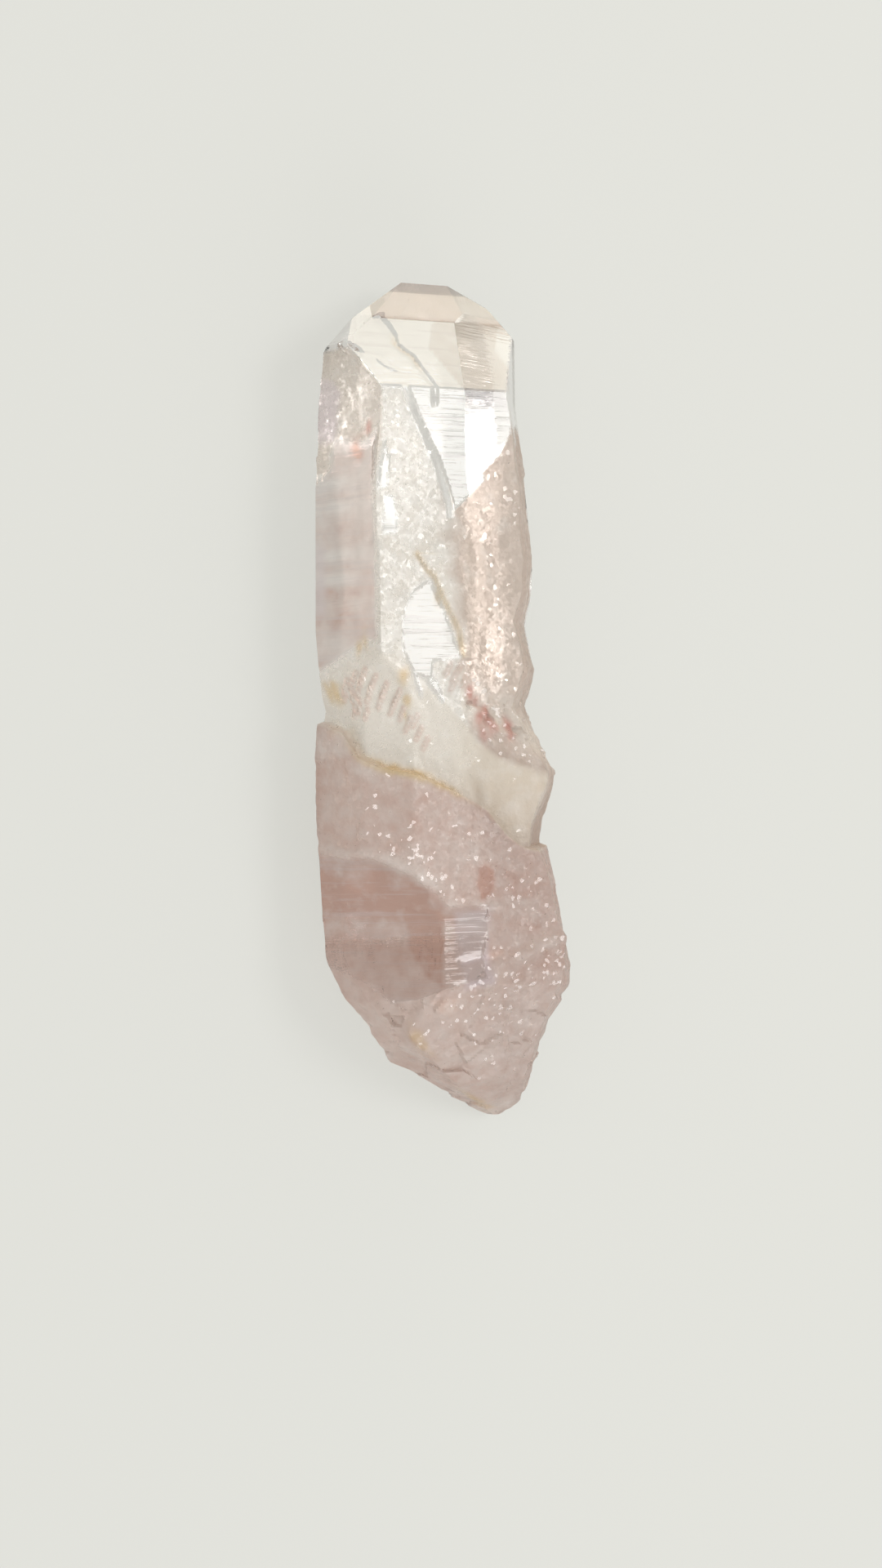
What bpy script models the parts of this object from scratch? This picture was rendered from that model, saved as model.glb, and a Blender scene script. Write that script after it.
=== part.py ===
"""A smoky Lemurian quartz crystal, lying on one of its prism faces.

The crystal is one natural piece. It is a six-sided prism with a true quartz termination at one end,
two stages of growth that meet at a slanting seam, and a broken, tapering root at the other end.
Its long axis lies along Y with the termination at +Y, and its best face is turned up, towards +Z.
"""

import math

import bmesh
import bpy
import numpy as np
from mathutils import Vector, noise

MM = 0.001

# Driving dimensions in millimetres. y runs along the growth axis, from the root to the termination.
AXIS_HEIGHT = 5.0
TIP_Y = -48.8
TIP_BLUNTNESS = 0.9
BLANK_END_Y = 70.0

# A rhomb face of quartz leans 51.8 degrees away from the growth axis.
RHOMB_TILT = math.radians(38.2)

# The six prism faces in turn: the angle of each from straight up, the y of its shoulder, where the
# rhomb face above it begins, and its distance from the growth axis along the crystal.
PRISM_FACES = (
    ("top", 0, 50.3, ((70, 14.7), (-28, 14.7), (-36, 11.5), (-42, 7.0), (TIP_Y, -3.0))),
    ("upper_right", 60, 59.2, (
        (70, 12.5), (50, 12.5), (43, 13.3), (36, 13.9), (28, 14.5), (24, 14.2), (20, 13.2), (14, 14.3),
        (9, 12.9), (4, 14.7), (0, 16.8), (-2, 16.6), (-7, 15.4), (-10, 15.1), (-15, 16.7), (-19, 17.5),
        (-26, 18.5), (-29, 18.0), (-34, 15.2), (-39, 13.5), (-42, 12.4), (-46, 10.4), (TIP_Y, 6.8))),
    ("lower_right", 120, 61.4, (
        (70, 6.7), (45, 6.7), (20, 7.2), (0, 8.0), (-20, 8.5), (-40, 9.6), (TIP_Y, 9.8))),
    ("bottom", 180, 59.3, ((70, AXIS_HEIGHT), (-30, AXIS_HEIGHT), (-40, 4.6), (TIP_Y, 3.0))),
    ("lower_left", 240, 56.0, (
        (70, 11.0), (60, 11.0), (52, 11.8), (38, 12.8), (19, 13.2), (8.5, 12.4), (2, 13.8), (-2, 13.8),
        (-18, 13.0), (-25, 12.4), (-29, 10.6), (-33, 7.9), (-39, 5.4), (-41, 2.0), (-45, -2.0),
        (TIP_Y, -5.5))),
    ("upper_left", 300, 56.8, (
        (70, 17.3), (46, 17.3), (38, 18.0), (-24, 18.0), (-30, 16.5), (-36, 12.0), (-42, 3.5),
        (TIP_Y, -9.8))),
)

TOP, UPPER_RIGHT, LOWER_RIGHT, BOTTOM, LOWER_LEFT, UPPER_LEFT = range(6)
FRONT = (UPPER_LEFT, TOP, UPPER_RIGHT)

# Marks on the surface: the distance across, measured round the crystal from the left edge of its
# top face, and y.
SLOPE_TOP = ((-19, 12.0), (-11, 13.1), (-5, 15.9), (-2.8, 17.0), (0.7, 16.7), (3.3, 14.4), (5.2, 12.9),
             (8.7, 10.3), (12.8, 5.1), (15, 2.7), (19.3, 0.7), (23, 0.0), (30, -1.0))
SEAM = ((-19, 7.5), (-10.7, 6.7), (-7.2, 5.5), (-4.2, 2.2), (-1.4, 1.0), (4.2, -0.1), (8.8, -2.0),
        (12.5, -3.7), (14.7, -4.9), (18.3, -8.4), (20.5, -9.8), (22, -10.5), (31, -10.0))
WINDOW = ((3.7, 50.3), (17, 50.3), (17, 43), (14.4, 38.6), (11.6, 35.3), (8.5, 40.5), (4.9, 47.0))
FIN = ((7.1, 25.5), (4.6, 24.0), (2.9, 19.3), (3.5, 14.6), (7.0, 12.0), (11.2, 15.2), (8.6, 22.0))
LOWER_FACET = ((-11, -11.0), (-2.8, -10.7), (3.9, -13.3), (8.8, -17.6), (15.7, -18.0), (13.4, -27.4),
               (3.0, -29.0), (-6.0, -27.0), (-11, -25.0))

# The slope above the seam falls to a step, deepest right of the middle. A lip stands below the step.
# Round the sides the seam levels out and fades, so that there is none underneath.
SEAM_DEPTH = ((-19, 0.5), (-11, 0.7), (-3, 1.5), (5, 2.2), (18, 2.2), (24, 1.2), (32, 0.8))
SEAM_LIP = 0.35
SEAM_LIP_REACH = 6.0
SEAM_MIDDLE_Y = -2.0
SEAM_REACH = 22.0
SEAM_LEFT_END = -17.5
SEAM_RIGHT_END = 26.0
SEAM_FADE = 11.0
SEAM_STEP_BELOW = 0.05
SEAM_STEP_ABOVE = 0.45

# One wide facet replaces the edge between the upper-left and top faces of the later growth. Its angle
# from straight up, its distance from the growth axis along the crystal, and how far its bounds slant.
FACET_ANGLE = math.radians(-30)
FACET_DISTANCE = ((TIP_Y, 15.1), (-17, 15.1), (-13, 16.2), (-11, 16.9), (2, 16.9), (12, 17.1), (17, 19.5))
FACET_SLANT = 0.33

# Lumpy ground: two sizes of soft noise, higher and wider at the root.
LUMP_HEIGHT = 0.55
LUMP_SIZE = 7.0
ROOT_LUMP_HEIGHT = 1.1
ROOT_LUMP_SIZE = 9.0
ROOT_TOP_Y = -20.0
ROOT_FADE = 12.0
FINE_LUMP_RATIO = 2.3
FINE_LUMP_SHARE = 0.5
BACK_LUMP_SHARE = 0.6
FLAT_MARGIN = 1.2
SHOULDER_CLEARANCE = 3.0

# Faces that stayed whole: their ranges of y.
COLUMN_Y = (17.0, 42.0)
UNDERSIDE_Y = -20.0
UPPER_BACK_Y = 12.0

# The etched left part of the top face lies a little deeper than the window beside it.
ETCH_DEPTH = 0.6
ETCH_Y = 17.0
ETCH_RIGHT_EDGE = ((34, 10.6), (50, 3.7))

ROW_PITCH = 2.0
COLUMNS_PER_SIDE = 8
CUT_TOLERANCE = 1e-7


def face_distance(face: int, y: float) -> float:
    """Distance from the growth axis to one prism face at y, read off its profile."""
    profile = sorted(PRISM_FACES[face][3])
    return float(np.interp(y, [p[0] for p in profile], [p[1] for p in profile]))


def face_normal(face: int) -> tuple[float, float]:
    """Outward direction of one prism face, as x and z."""
    angle = math.radians(PRISM_FACES[face][1])
    return math.sin(angle), math.cos(angle)


def corner(face: int, y: float) -> tuple[float, float]:
    """The x and z of the edge between a prism face and the next one round, 60 degrees on."""
    here = face_distance(face, y)
    beyond = face_distance((face + 1) % 6, y)
    nx, nz = face_normal(face)
    along = (beyond - here * math.cos(math.pi / 3)) / math.sin(math.pi / 3)
    return nx * here + nz * along, nz * here - nx * along


def smooth(value: float) -> float:
    """A soft step from 0 to 1 as value goes from 0 to 1."""
    t = min(max(value, 0.0), 1.0)
    return t * t * (3.0 - 2.0 * t)


def read_line(line: tuple, at: float) -> float:
    """The second number of a line of points, such as the y of a mark, read at its first number."""
    return float(np.interp(at, [p[0] for p in line], [p[1] for p in line]))


def depth_inside(outline: tuple, across: float, y: float) -> float:
    """How far a point lies inside a closed outline, in millimetres; negative outside."""
    inside = False
    nearest = math.inf
    for (ax, ay), (bx, by) in zip(outline, outline[1:] + outline[:1]):
        dx, dy = bx - ax, by - ay
        t = min(max(((across - ax) * dx + (y - ay) * dy) / (dx * dx + dy * dy), 0.0), 1.0)
        nearest = min(nearest, math.hypot(ax + t * dx - across, ay + t * dy - y))
        if (ay > y) != (by > y) and across < ax + (y - ay) * dx / dy:
            inside = not inside
    return nearest if inside else -nearest


def ring(row_y: float) -> list[tuple[Vector, float, int]]:
    """One row of points round the crystal, slanted to follow the seam where the row is near it.

    Args:
        row_y: the y of the row where the seam crosses its own middle.

    Returns:
        For each point its place, its distance across and the face that it lies on.
    """
    corners = [corner(k, row_y) for k in range(6)]
    nearness = smooth(1.0 - abs(row_y - SEAM_MIDDLE_Y) / SEAM_REACH)
    sides = []
    for k in (LOWER_LEFT, UPPER_LEFT, TOP, UPPER_RIGHT, LOWER_RIGHT, BOTTOM):
        (x0, z0), (x1, z1) = corners[(k - 1) % 6], corners[k]
        sides.append((k, x0, z0, x1, z1, math.hypot(x1 - x0, z1 - z0)))
    across_start = -sides[0][5] - sides[1][5]
    points = []
    for k, x0, z0, x1, z1, width in sides:
        for i in range(COLUMNS_PER_SIDE):
            t = i / COLUMNS_PER_SIDE
            across = across_start + t * width
            slant = seam_share(across) * (read_line(SEAM, across) - SEAM_MIDDLE_Y) * nearness
            y = row_y + slant
            # The slanted point is read off the section at its own y, so that flat faces stay flat.
            (ax, az), (bx, bz) = corner((k - 1) % 6, y), corner(k, y)
            points.append((Vector((ax + t * (bx - ax), y, az + t * (bz - az))), across, k))
        across_start += width
    return points


def seam_share(across: float) -> float:
    """How much there is of the seam: all on the upper faces, fading out round both sides."""
    left = smooth(1.0 - (SEAM_LEFT_END - across) / SEAM_FADE)
    right = smooth(1.0 - (across - SEAM_RIGHT_END) / SEAM_FADE)
    return left * right


def cut_to_facet(place: Vector, across: float) -> Vector:
    """Bring a point that stands beyond the wide facet down onto it."""
    normal = Vector((math.sin(FACET_ANGLE), 0.0, math.cos(FACET_ANGLE)))
    beyond = place.dot(normal) - read_line(FACET_DISTANCE, place.y + FACET_SLANT * across)
    return place - max(beyond, 0.0) * normal


def relief(point: Vector, across: float, face: int) -> float:
    """How far the surface stands out from the ideal prism at a point, in millimetres.

    The slope above the seam falls away towards it and the later growth below starts with a lip.
    Rough ground is lumpy. The windows, the left column and the underside keep their flat faces.
    """
    y = point.y
    seam_y = read_line(SEAM, across)
    top_y = read_line(SLOPE_TOP, across)
    height = 0.0
    if seam_y < y < top_y:
        height = -read_line(SEAM_DEPTH, across) * smooth((top_y - y) / (top_y - seam_y))
    elif y <= seam_y:
        height = SEAM_LIP * smooth(1.0 - (seam_y - y) / SEAM_LIP_REACH)
    return seam_share(across) * height + lumps(point, across, face)


def lumps(point: Vector, across: float, face: int) -> float:
    """Lumpy ground, in millimetres: soft noise, gone on the flat faces and growing at the root."""
    y = point.y
    flat = max(depth_inside(outline, across, y) for outline in (WINDOW, FIN, LOWER_FACET))
    ground = smooth(-flat / FLAT_MARGIN) if face in FRONT else BACK_LUMP_SHARE
    column = face == UPPER_LEFT and COLUMN_Y[0] < y < COLUMN_Y[1]
    underside = face == BOTTOM and y > UNDERSIDE_Y
    upper_back = face in (LOWER_RIGHT, LOWER_LEFT) and y > UPPER_BACK_Y
    if column or underside or upper_back:
        ground = 0.0
    ground *= smooth((PRISM_FACES[face][2] - y) / SHOULDER_CLEARANCE)
    etched = face == TOP and y > ETCH_Y and across < read_line(ETCH_RIGHT_EDGE, y)
    root = smooth((ROOT_TOP_Y - y) / ROOT_FADE)
    size = LUMP_SIZE + root * (ROOT_LUMP_SIZE - LUMP_SIZE)
    height = LUMP_HEIGHT + root * (ROOT_LUMP_HEIGHT - LUMP_HEIGHT)
    value = noise.noise(point / size) + FINE_LUMP_SHARE * noise.noise(point / size * FINE_LUMP_RATIO)
    return ground * (height * value - (ETCH_DEPTH if etched else 0.0))


def row_positions() -> list[float]:
    """The y of each row of the blank, with two close rows that make the step of the seam."""
    rows = [TIP_Y + TIP_BLUNTNESS]
    while rows[-1] < BLANK_END_Y - ROW_PITCH:
        rows.append(rows[-1] + ROW_PITCH)
    rows = [y for y in rows if abs(y - SEAM_MIDDLE_Y) > 0.6 * ROW_PITCH]
    rows += [SEAM_MIDDLE_Y - SEAM_STEP_BELOW, SEAM_MIDDLE_Y + SEAM_STEP_ABOVE]
    return sorted(rows)


def build_blank() -> bmesh.types.BMesh:
    """Loft the six-sided body from its sections, with its relief, closed at both ends."""
    body = bmesh.new()
    rings = []
    for row_y in row_positions():
        verts = []
        for ideal, across, face in ring(row_y):
            place = cut_to_facet(ideal, across)
            outward = Vector((place.x, 0.0, place.z)).normalized()
            moved = place + outward * relief(place, across, face)
            moved.z = max(moved.z, -AXIS_HEIGHT)
            verts.append(body.verts.new((moved.x * MM, moved.y * MM, (moved.z + AXIS_HEIGHT) * MM)))
        rings.append(verts)
    for lower, upper in zip(rings, rings[1:]):
        count = len(lower)
        for i in range(count):
            j = (i + 1) % count
            body.faces.new((lower[i], lower[j], upper[j], upper[i]))
    body.faces.new(rings[0])
    body.faces.new(rings[-1])
    bmesh.ops.recalc_face_normals(body, faces=body.faces)
    return body


def cut_termination(body: bmesh.types.BMesh) -> None:
    """Cut the six rhomb faces, each rising from the shoulder of its prism face."""
    for face, (_, _, shoulder_y, _) in enumerate(PRISM_FACES):
        nx, nz = face_normal(face)
        distance = face_distance(face, shoulder_y)
        place = Vector((nx * distance, shoulder_y, nz * distance + AXIS_HEIGHT)) * MM
        normal = Vector((nx * math.cos(RHOMB_TILT), math.sin(RHOMB_TILT), nz * math.cos(RHOMB_TILT)))
        everything = body.verts[:] + body.edges[:] + body.faces[:]
        cut = bmesh.ops.bisect_plane(
            body, geom=everything, dist=CUT_TOLERANCE, plane_co=place, plane_no=normal, clear_outer=True)
        rim = [item for item in cut["geom_cut"] if isinstance(item, bmesh.types.BMEdge)]
        bmesh.ops.holes_fill(body, edges=rim, sides=0)
    bmesh.ops.recalc_face_normals(body, faces=body.faces)


def stand_on_origin(body: bmesh.types.BMesh) -> None:
    """Move the crystal so that the middle of its box stands over the origin, on the ground."""
    places = np.array([vert.co for vert in body.verts])
    low, high = places.min(axis=0), places.max(axis=0)
    middle = (low + high) / 2
    bmesh.ops.translate(body, verts=body.verts, vec=(-middle[0], -middle[1], -low[2]))


def quartz_material() -> bpy.types.Material:
    """Pale smoky quartz: clear, with a grey-beige body colour."""
    material = bpy.data.materials.new("smoky_quartz")
    material.use_nodes = True
    shader = material.node_tree.nodes["Principled BSDF"]
    shader.inputs["Base Color"].default_value = (0.70, 0.61, 0.54, 1.0)
    shader.inputs["Roughness"].default_value = 0.12
    shader.inputs["Metallic"].default_value = 0.0
    shader.inputs["IOR"].default_value = 1.544
    shader.inputs["Transmission Weight"].default_value = 1.0
    return material


def build_crystal(parts: bpy.types.Collection) -> bpy.types.Object:
    """Make the crystal as one closed solid in its own object."""
    body = build_blank()
    cut_termination(body)
    stand_on_origin(body)
    mesh = bpy.data.meshes.new("quartz_crystal")
    body.to_mesh(mesh)
    body.free()
    crystal = bpy.data.objects.new("quartz_crystal", mesh)
    mesh.materials.append(quartz_material())
    parts.objects.link(crystal)
    return crystal


def main() -> None:
    """Clear the scene and build the part."""
    for leftover in list(bpy.data.objects):
        bpy.data.objects.remove(leftover, do_unlink=True)
    parts = bpy.data.collections.new("lemurian_quartz")
    bpy.context.scene.collection.children.link(parts)
    build_crystal(parts)


main()
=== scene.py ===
"""The looks of a smoky Lemurian quartz crystal that lies on a pale studio floor.

One fine surface replaces the plain solid. It is a six-sided prism with a true quartz termination,
worked out as a function of the distance round the crystal and the distance along it, with the relief
that the real one shows: clear windows in frosted ground, a slanting seam, a hackly broken root.
Lengths in the classes are millimetres and are turned into metres where a mesh or a light is made.
"""

import logging
import math
from dataclasses import dataclass, field
from enum import Enum

import bmesh
import bpy
import numpy as np
from mathutils import Matrix, Vector


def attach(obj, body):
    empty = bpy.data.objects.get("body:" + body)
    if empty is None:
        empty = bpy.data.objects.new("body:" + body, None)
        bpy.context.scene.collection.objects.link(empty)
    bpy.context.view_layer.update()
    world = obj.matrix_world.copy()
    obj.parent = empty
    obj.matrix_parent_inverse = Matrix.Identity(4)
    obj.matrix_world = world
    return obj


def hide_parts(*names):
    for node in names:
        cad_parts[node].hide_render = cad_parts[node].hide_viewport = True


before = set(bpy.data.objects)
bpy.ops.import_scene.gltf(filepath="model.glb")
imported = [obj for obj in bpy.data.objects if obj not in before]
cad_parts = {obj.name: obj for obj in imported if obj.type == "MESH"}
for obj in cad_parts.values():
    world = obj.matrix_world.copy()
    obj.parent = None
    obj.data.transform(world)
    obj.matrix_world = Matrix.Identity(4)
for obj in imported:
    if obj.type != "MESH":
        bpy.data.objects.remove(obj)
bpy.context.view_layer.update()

NODE = "quartz_crystal"
MM = 0.001

log = logging.getLogger("lemurian_quartz")

Array = np.ndarray
Tree = bpy.types.NodeTree
Socket = bpy.types.NodeSocket
Layers = dict[str, bpy.types.NodeSocket]
Point = tuple[float, float, float]
Line = tuple[tuple[float, float], ...]
# A spot or stroke: its middle across, its middle y and its radius or length.
Spots = tuple[Point, ...]
# A soft noise: its height, its size and its seed. A chip noise has its tilt before the seed.
Lump = tuple[float, float, int]
Chip = tuple[float, float, float, int]
# Shares are a base amount, then what each kind of ground adds. Factors only say how each changes it.
Shares = tuple[float | tuple[str, float], ...]
Factors = tuple[tuple[str, float], ...]

# Noise is drawn out along the crystal or round it by shrinking the places before they are read.
DRAWN_ALONG = np.array([1.0, 0.3, 1.0])
DRAWN_ROUND = np.array([0.2, 1.0, 0.2])

LAYERS = ("frost", "tan", "red", "smoke_and_shade", "milk", "rosy", "lilac_shade", "glitter", "glint", "ladder")

# The mix node has inputs of the same names for each kind of value, so they go by number.
FACTOR, VECTOR_A, VECTOR_B, COLOUR_A, COLOUR_B = 0, 4, 5, 6, 7
VECTOR_RESULT, COLOUR_RESULT = 1, 2


class Side(Enum):
    """The six prism faces of the crystal, in order round it from its upturned best face."""

    TOP = 0
    UPPER_RIGHT = 1
    LOWER_RIGHT = 2
    BOTTOM = 3
    LOWER_LEFT = 4
    UPPER_LEFT = 5


FRONT_SIDES = (Side.UPPER_LEFT.value, Side.TOP.value, Side.UPPER_RIGHT.value)


def smooth(value: Array) -> Array:
    """A soft step from 0 to 1 as value goes from 0 to 1: three times its square less twice its cube."""
    t = np.clip(value, 0.0, 1.0)
    return t * t * (3.0 - 2.0 * t)


def step(value: Array, start: Array, width: float) -> Array:
    """How far the value is past the start, softly from 0 to 1 over the width."""
    return smooth((value - start) / width)


def blend(ground: dict[str, Array], shares: Shares) -> Array:
    """A base amount plus what each kind of ground adds to it."""
    base, *parts = shares
    return base + sum(share * ground[name] for name, share in parts)


def read_line(line: Line, at: Array) -> Array:
    """The second number of a line of points, read straight between them at its first number."""
    return np.interp(at, [p[0] for p in line], [p[1] for p in line])


def read_across(line: Line, along: Array) -> Array:
    """The distance across of a line that runs down the crystal, read at each y."""
    return read_line(tuple((y, across) for across, y in reversed(line)), along)


def line_distance(line: Line, across: Array, along: Array) -> Array:
    """Distance from each point to a polyline: the least of the distances to its straight pieces.

    Args:
        line: the corners of the polyline.
        across: the points' distance across.
        along: the points' y.

    Returns:
        The distance of each point.
    """
    nearest = np.full(across.shape, np.inf)
    for (ax, ay), (bx, by) in zip(line, line[1:]):
        dx, dy = bx - ax, by - ay
        t = np.clip(((across - ax) * dx + (along - ay) * dy) / (dx * dx + dy * dy), 0.0, 1.0)
        nearest = np.minimum(nearest, np.hypot(ax + t * dx - across, ay + t * dy - along))
    return nearest


def depth_inside(outline: Line, across: Array, along: Array) -> Array:
    """Distance to a closed outline, positive inside it and negative outside, by counting crossings.

    Args:
        outline: the corners of the outline.
        across: the points' distance across.
        along: the points' y.

    Returns:
        The depth of each point.
    """
    closed = outline + outline[:1]
    inside = np.zeros(across.shape, bool)
    for (ax, ay), (bx, by) in zip(closed, closed[1:]):
        if ay == by:
            continue
        between = (ay > along) != (by > along)
        inside ^= between & (across < ax + (along - ay) * (bx - ax) / (by - ay))
    distance = line_distance(closed, across, along)
    return np.where(inside, distance, -distance)


def lattice_random(cells: Array, seed: int) -> Array:
    """One repeatable random number from 0 to 1 for each whole-numbered cell, by mixing its bits.

    Args:
        cells: the three whole numbers of each cell.
        seed: which set of random numbers is drawn.

    Returns:
        The number of each cell.
    """
    x, y, z = (cells[..., i].astype(np.int64) for i in range(3))
    mixed = (x * 73856093) ^ (y * 19349663) ^ (z * 83492791) ^ (seed * 2654435761)
    mixed = (mixed ^ (mixed >> 13)) * 1274126177 & 0xFFFFFFFF
    mixed = (mixed ^ (mixed >> 16)) * 2246822519 & 0xFFFFFFFF
    return ((mixed ^ (mixed >> 15)) & 0xFFFFFF) / float(0xFFFFFF)


def soft_noise(points: Array, size: float, seed: int) -> Array:
    """Smooth noise from -1 to 1: random values on a cubic lattice of the size, blended between.

    Args:
        points: where the noise is read.
        size: the lattice's pitch in millimetres.
        seed: which set of random numbers is drawn.

    Returns:
        The noise at each point.
    """
    scaled = points / size
    base = np.floor(scaled).astype(np.int64)
    t = smooth(scaled - base)
    total = np.zeros(len(points))
    for corner in np.ndindex(2, 2, 2):
        weight = np.ones(len(points))
        for axis in range(3):
            weight = weight * (t[:, axis] if corner[axis] else 1.0 - t[:, axis])
        total += weight * lattice_random(base + np.array(corner), seed)
    return 2.0 * total - 1.0


def hackle(points: Array, size: float, tilt: float, seed: int) -> Array:
    """Small flat chips, as on broken quartz.

    Space is shared out among jittered seeds, one to each cell of the size. Within a seed's share the
    height is a plane through the seed, leaning in a random direction by up to the tilt.

    Args:
        points: where the height is read.
        size: the cells' size in millimetres.
        tilt: how steep a chip can be.
        seed: which set of random numbers is drawn.

    Returns:
        The height at each point.
    """
    scaled = points / size
    base = np.floor(scaled).astype(np.int64)
    best = np.full(len(points), np.inf)
    height = np.zeros(len(points))
    for offset in np.ndindex(3, 3, 3):
        cell = base + np.array(offset) - 1
        jitter = np.stack([lattice_random(cell, seed + k) for k in range(3)], axis=-1)
        lean = np.stack([lattice_random(cell, seed + 3 + k) for k in range(3)], axis=-1) - 0.5
        away = scaled - (cell + jitter)
        distance = (away * away).sum(axis=-1)
        nearer = distance < best
        best = np.where(nearer, distance, best)
        height = np.where(nearer, 2.0 * tilt * size * (away * lean).sum(axis=-1), height)
    return height


@dataclass(frozen=True)
class PrismForm:
    """The ideal crystal: six prism faces and the six rhomb faces of the termination.

    Each prism face has an angle from straight up, a shoulder where its rhomb face begins, and a
    distance from the growth axis that changes along the crystal.
    """

    axis_height: float = 5.0
    tip_y: float = -48.8
    rhomb_tilt: float = math.radians(38.2)
    shoulders: tuple[float, ...] = (50.3, 59.2, 61.4, 59.3, 56.0, 56.8)
    profiles: tuple[Line, ...] = (
        ((-48.8, -3.0), (-42, 7.0), (-36, 11.5), (-28, 14.7), (70, 14.7)),
        ((-48.8, 6.8), (-46, 10.4), (-42, 12.4), (-39, 13.5), (-34, 15.2), (-29, 18.0), (-26, 18.5),
         (-19, 17.5), (-15, 16.7), (-10, 15.1), (-7, 15.4), (-2, 16.6), (0, 16.8), (4, 14.7), (9, 12.9),
         (14, 14.3), (20, 13.2), (24, 14.2), (28, 14.5), (36, 13.9), (43, 13.3), (50, 12.5), (70, 12.5)),
        ((-48.8, 9.8), (-40, 9.6), (-20, 8.5), (0, 8.0), (20, 7.2), (45, 6.7), (70, 6.7)),
        ((-48.8, 3.0), (-40, 4.6), (-30, 5.0), (70, 5.0)),
        ((-48.8, -5.5), (-45, -2.0), (-41, 2.0), (-39, 5.4), (-33, 7.9), (-29, 10.6), (-25, 12.4),
         (-18, 13.0), (-2, 13.8), (2, 13.8), (8.5, 12.4), (19, 13.2), (38, 12.8), (52, 11.8), (60, 11.0),
         (70, 11.0)),
        ((-48.8, -9.8), (-42, 3.5), (-36, 12.0), (-30, 16.5), (-24, 18.0), (38, 18.0), (46, 17.3),
         (70, 17.3)),
    )
    facet_angle: float = math.radians(-30.0)
    facet_distance: Line = ((-48.8, 15.1), (-17, 15.1), (-13, 16.2), (-11, 16.9), (2, 16.9), (12, 17.1),
                            (17, 19.5))
    facet_slant: float = 0.33

    def cut_to_facet(self, points: Array, across: Array) -> Array:
        """Bring the points that stand beyond the wide front facet down onto it.

        Args:
            points: points of the ideal prism.
            across: their distance round from the top face's left edge.

        Returns:
            The points, with the later growth's front edge cut off to one flat facet.
        """
        normal = np.array([math.sin(self.facet_angle), 0.0, math.cos(self.facet_angle)])
        place = points[..., 1] + self.facet_slant * across
        beyond = points @ normal - read_line(self.facet_distance, place)
        return points - np.maximum(beyond, 0.0)[..., None] * normal

    def distances(self, along: Array) -> Array:
        """Distance of the six faces from the growth axis, less where the rhomb faces cut in.

        Args:
            along: places along the growth axis.

        Returns:
            The six distances at each place.
        """
        rows = []
        for profile, shoulder in zip(self.profiles, self.shoulders):
            at_shoulder = float(read_line(profile, np.array(shoulder)))
            rhomb = at_shoulder - (along - shoulder) * math.tan(self.rhomb_tilt)
            rows.append(np.minimum(read_line(profile, along), rhomb))
        return np.stack(rows, axis=-1)

    def sides(self, along: Array) -> tuple[Array, Array]:
        """The two ends of each side of the section at each place along.

        A side lies on its face's line. It is cut by the lines of the four faces nearest to it. Where
        nothing is left of it, it shrinks to the corner where its neighbours meet.

        Args:
            along: places along the growth axis.

        Returns:
            The first and last point of each side, as arrays of x and z.
        """
        distance = self.distances(along)
        starts, ends = [], []
        for k in range(6):
            limits = {}
            for apart in (-2, -1, 1, 2):
                turn = math.radians(60 * apart)
                other = distance[..., (k + apart) % 6]
                limits[apart] = (other - distance[..., k] * math.cos(turn)) / math.sin(turn)
            starts.append(np.maximum(limits[-1], limits[-2]))
            ends.append(np.minimum(limits[1], limits[2]))
        present = [starts[k] <= ends[k] for k in range(6)]
        first = [self.on_line(k, distance, starts[k]) for k in range(6)]
        last = [self.on_line(k, distance, ends[k]) for k in range(6)]
        # Twice round, so that missing sides next to each other close up too.
        for k in 2 * tuple(range(6)):
            gone = ~present[k][..., None]
            first[k] = np.where(gone, last[k - 1], first[k])
            last[k] = np.where(gone, last[k - 1], last[k])
        return np.stack(first, axis=-2), np.stack(last, axis=-2)

    @staticmethod
    def on_line(side: int, distance: Array, slide: Array) -> Array:
        """The x and z of the point that slides along one face's line in the section.

        Args:
            side: the face's number.
            distance: how far the six faces are from the growth axis.
            slide: how far the point has slid from the middle of the line.

        Returns:
            The points as x and z.
        """
        angle = math.radians(60 * side)
        out = distance[..., side]
        x = math.sin(angle) * out + math.cos(angle) * slide
        z = math.cos(angle) * out - math.sin(angle) * slide
        return np.stack([x, z], axis=-1)

    def apex_y(self) -> float:
        """Where the top and bottom rhomb faces meet: their distances add up to nothing.

        Returns:
            The y of the apex.
        """
        top, bottom = self.profiles[0][-1][1], self.profiles[3][-1][1]
        reach = (top + bottom) / math.tan(self.rhomb_tilt)
        return 0.5 * (self.shoulders[0] + self.shoulders[3] + reach)


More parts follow.
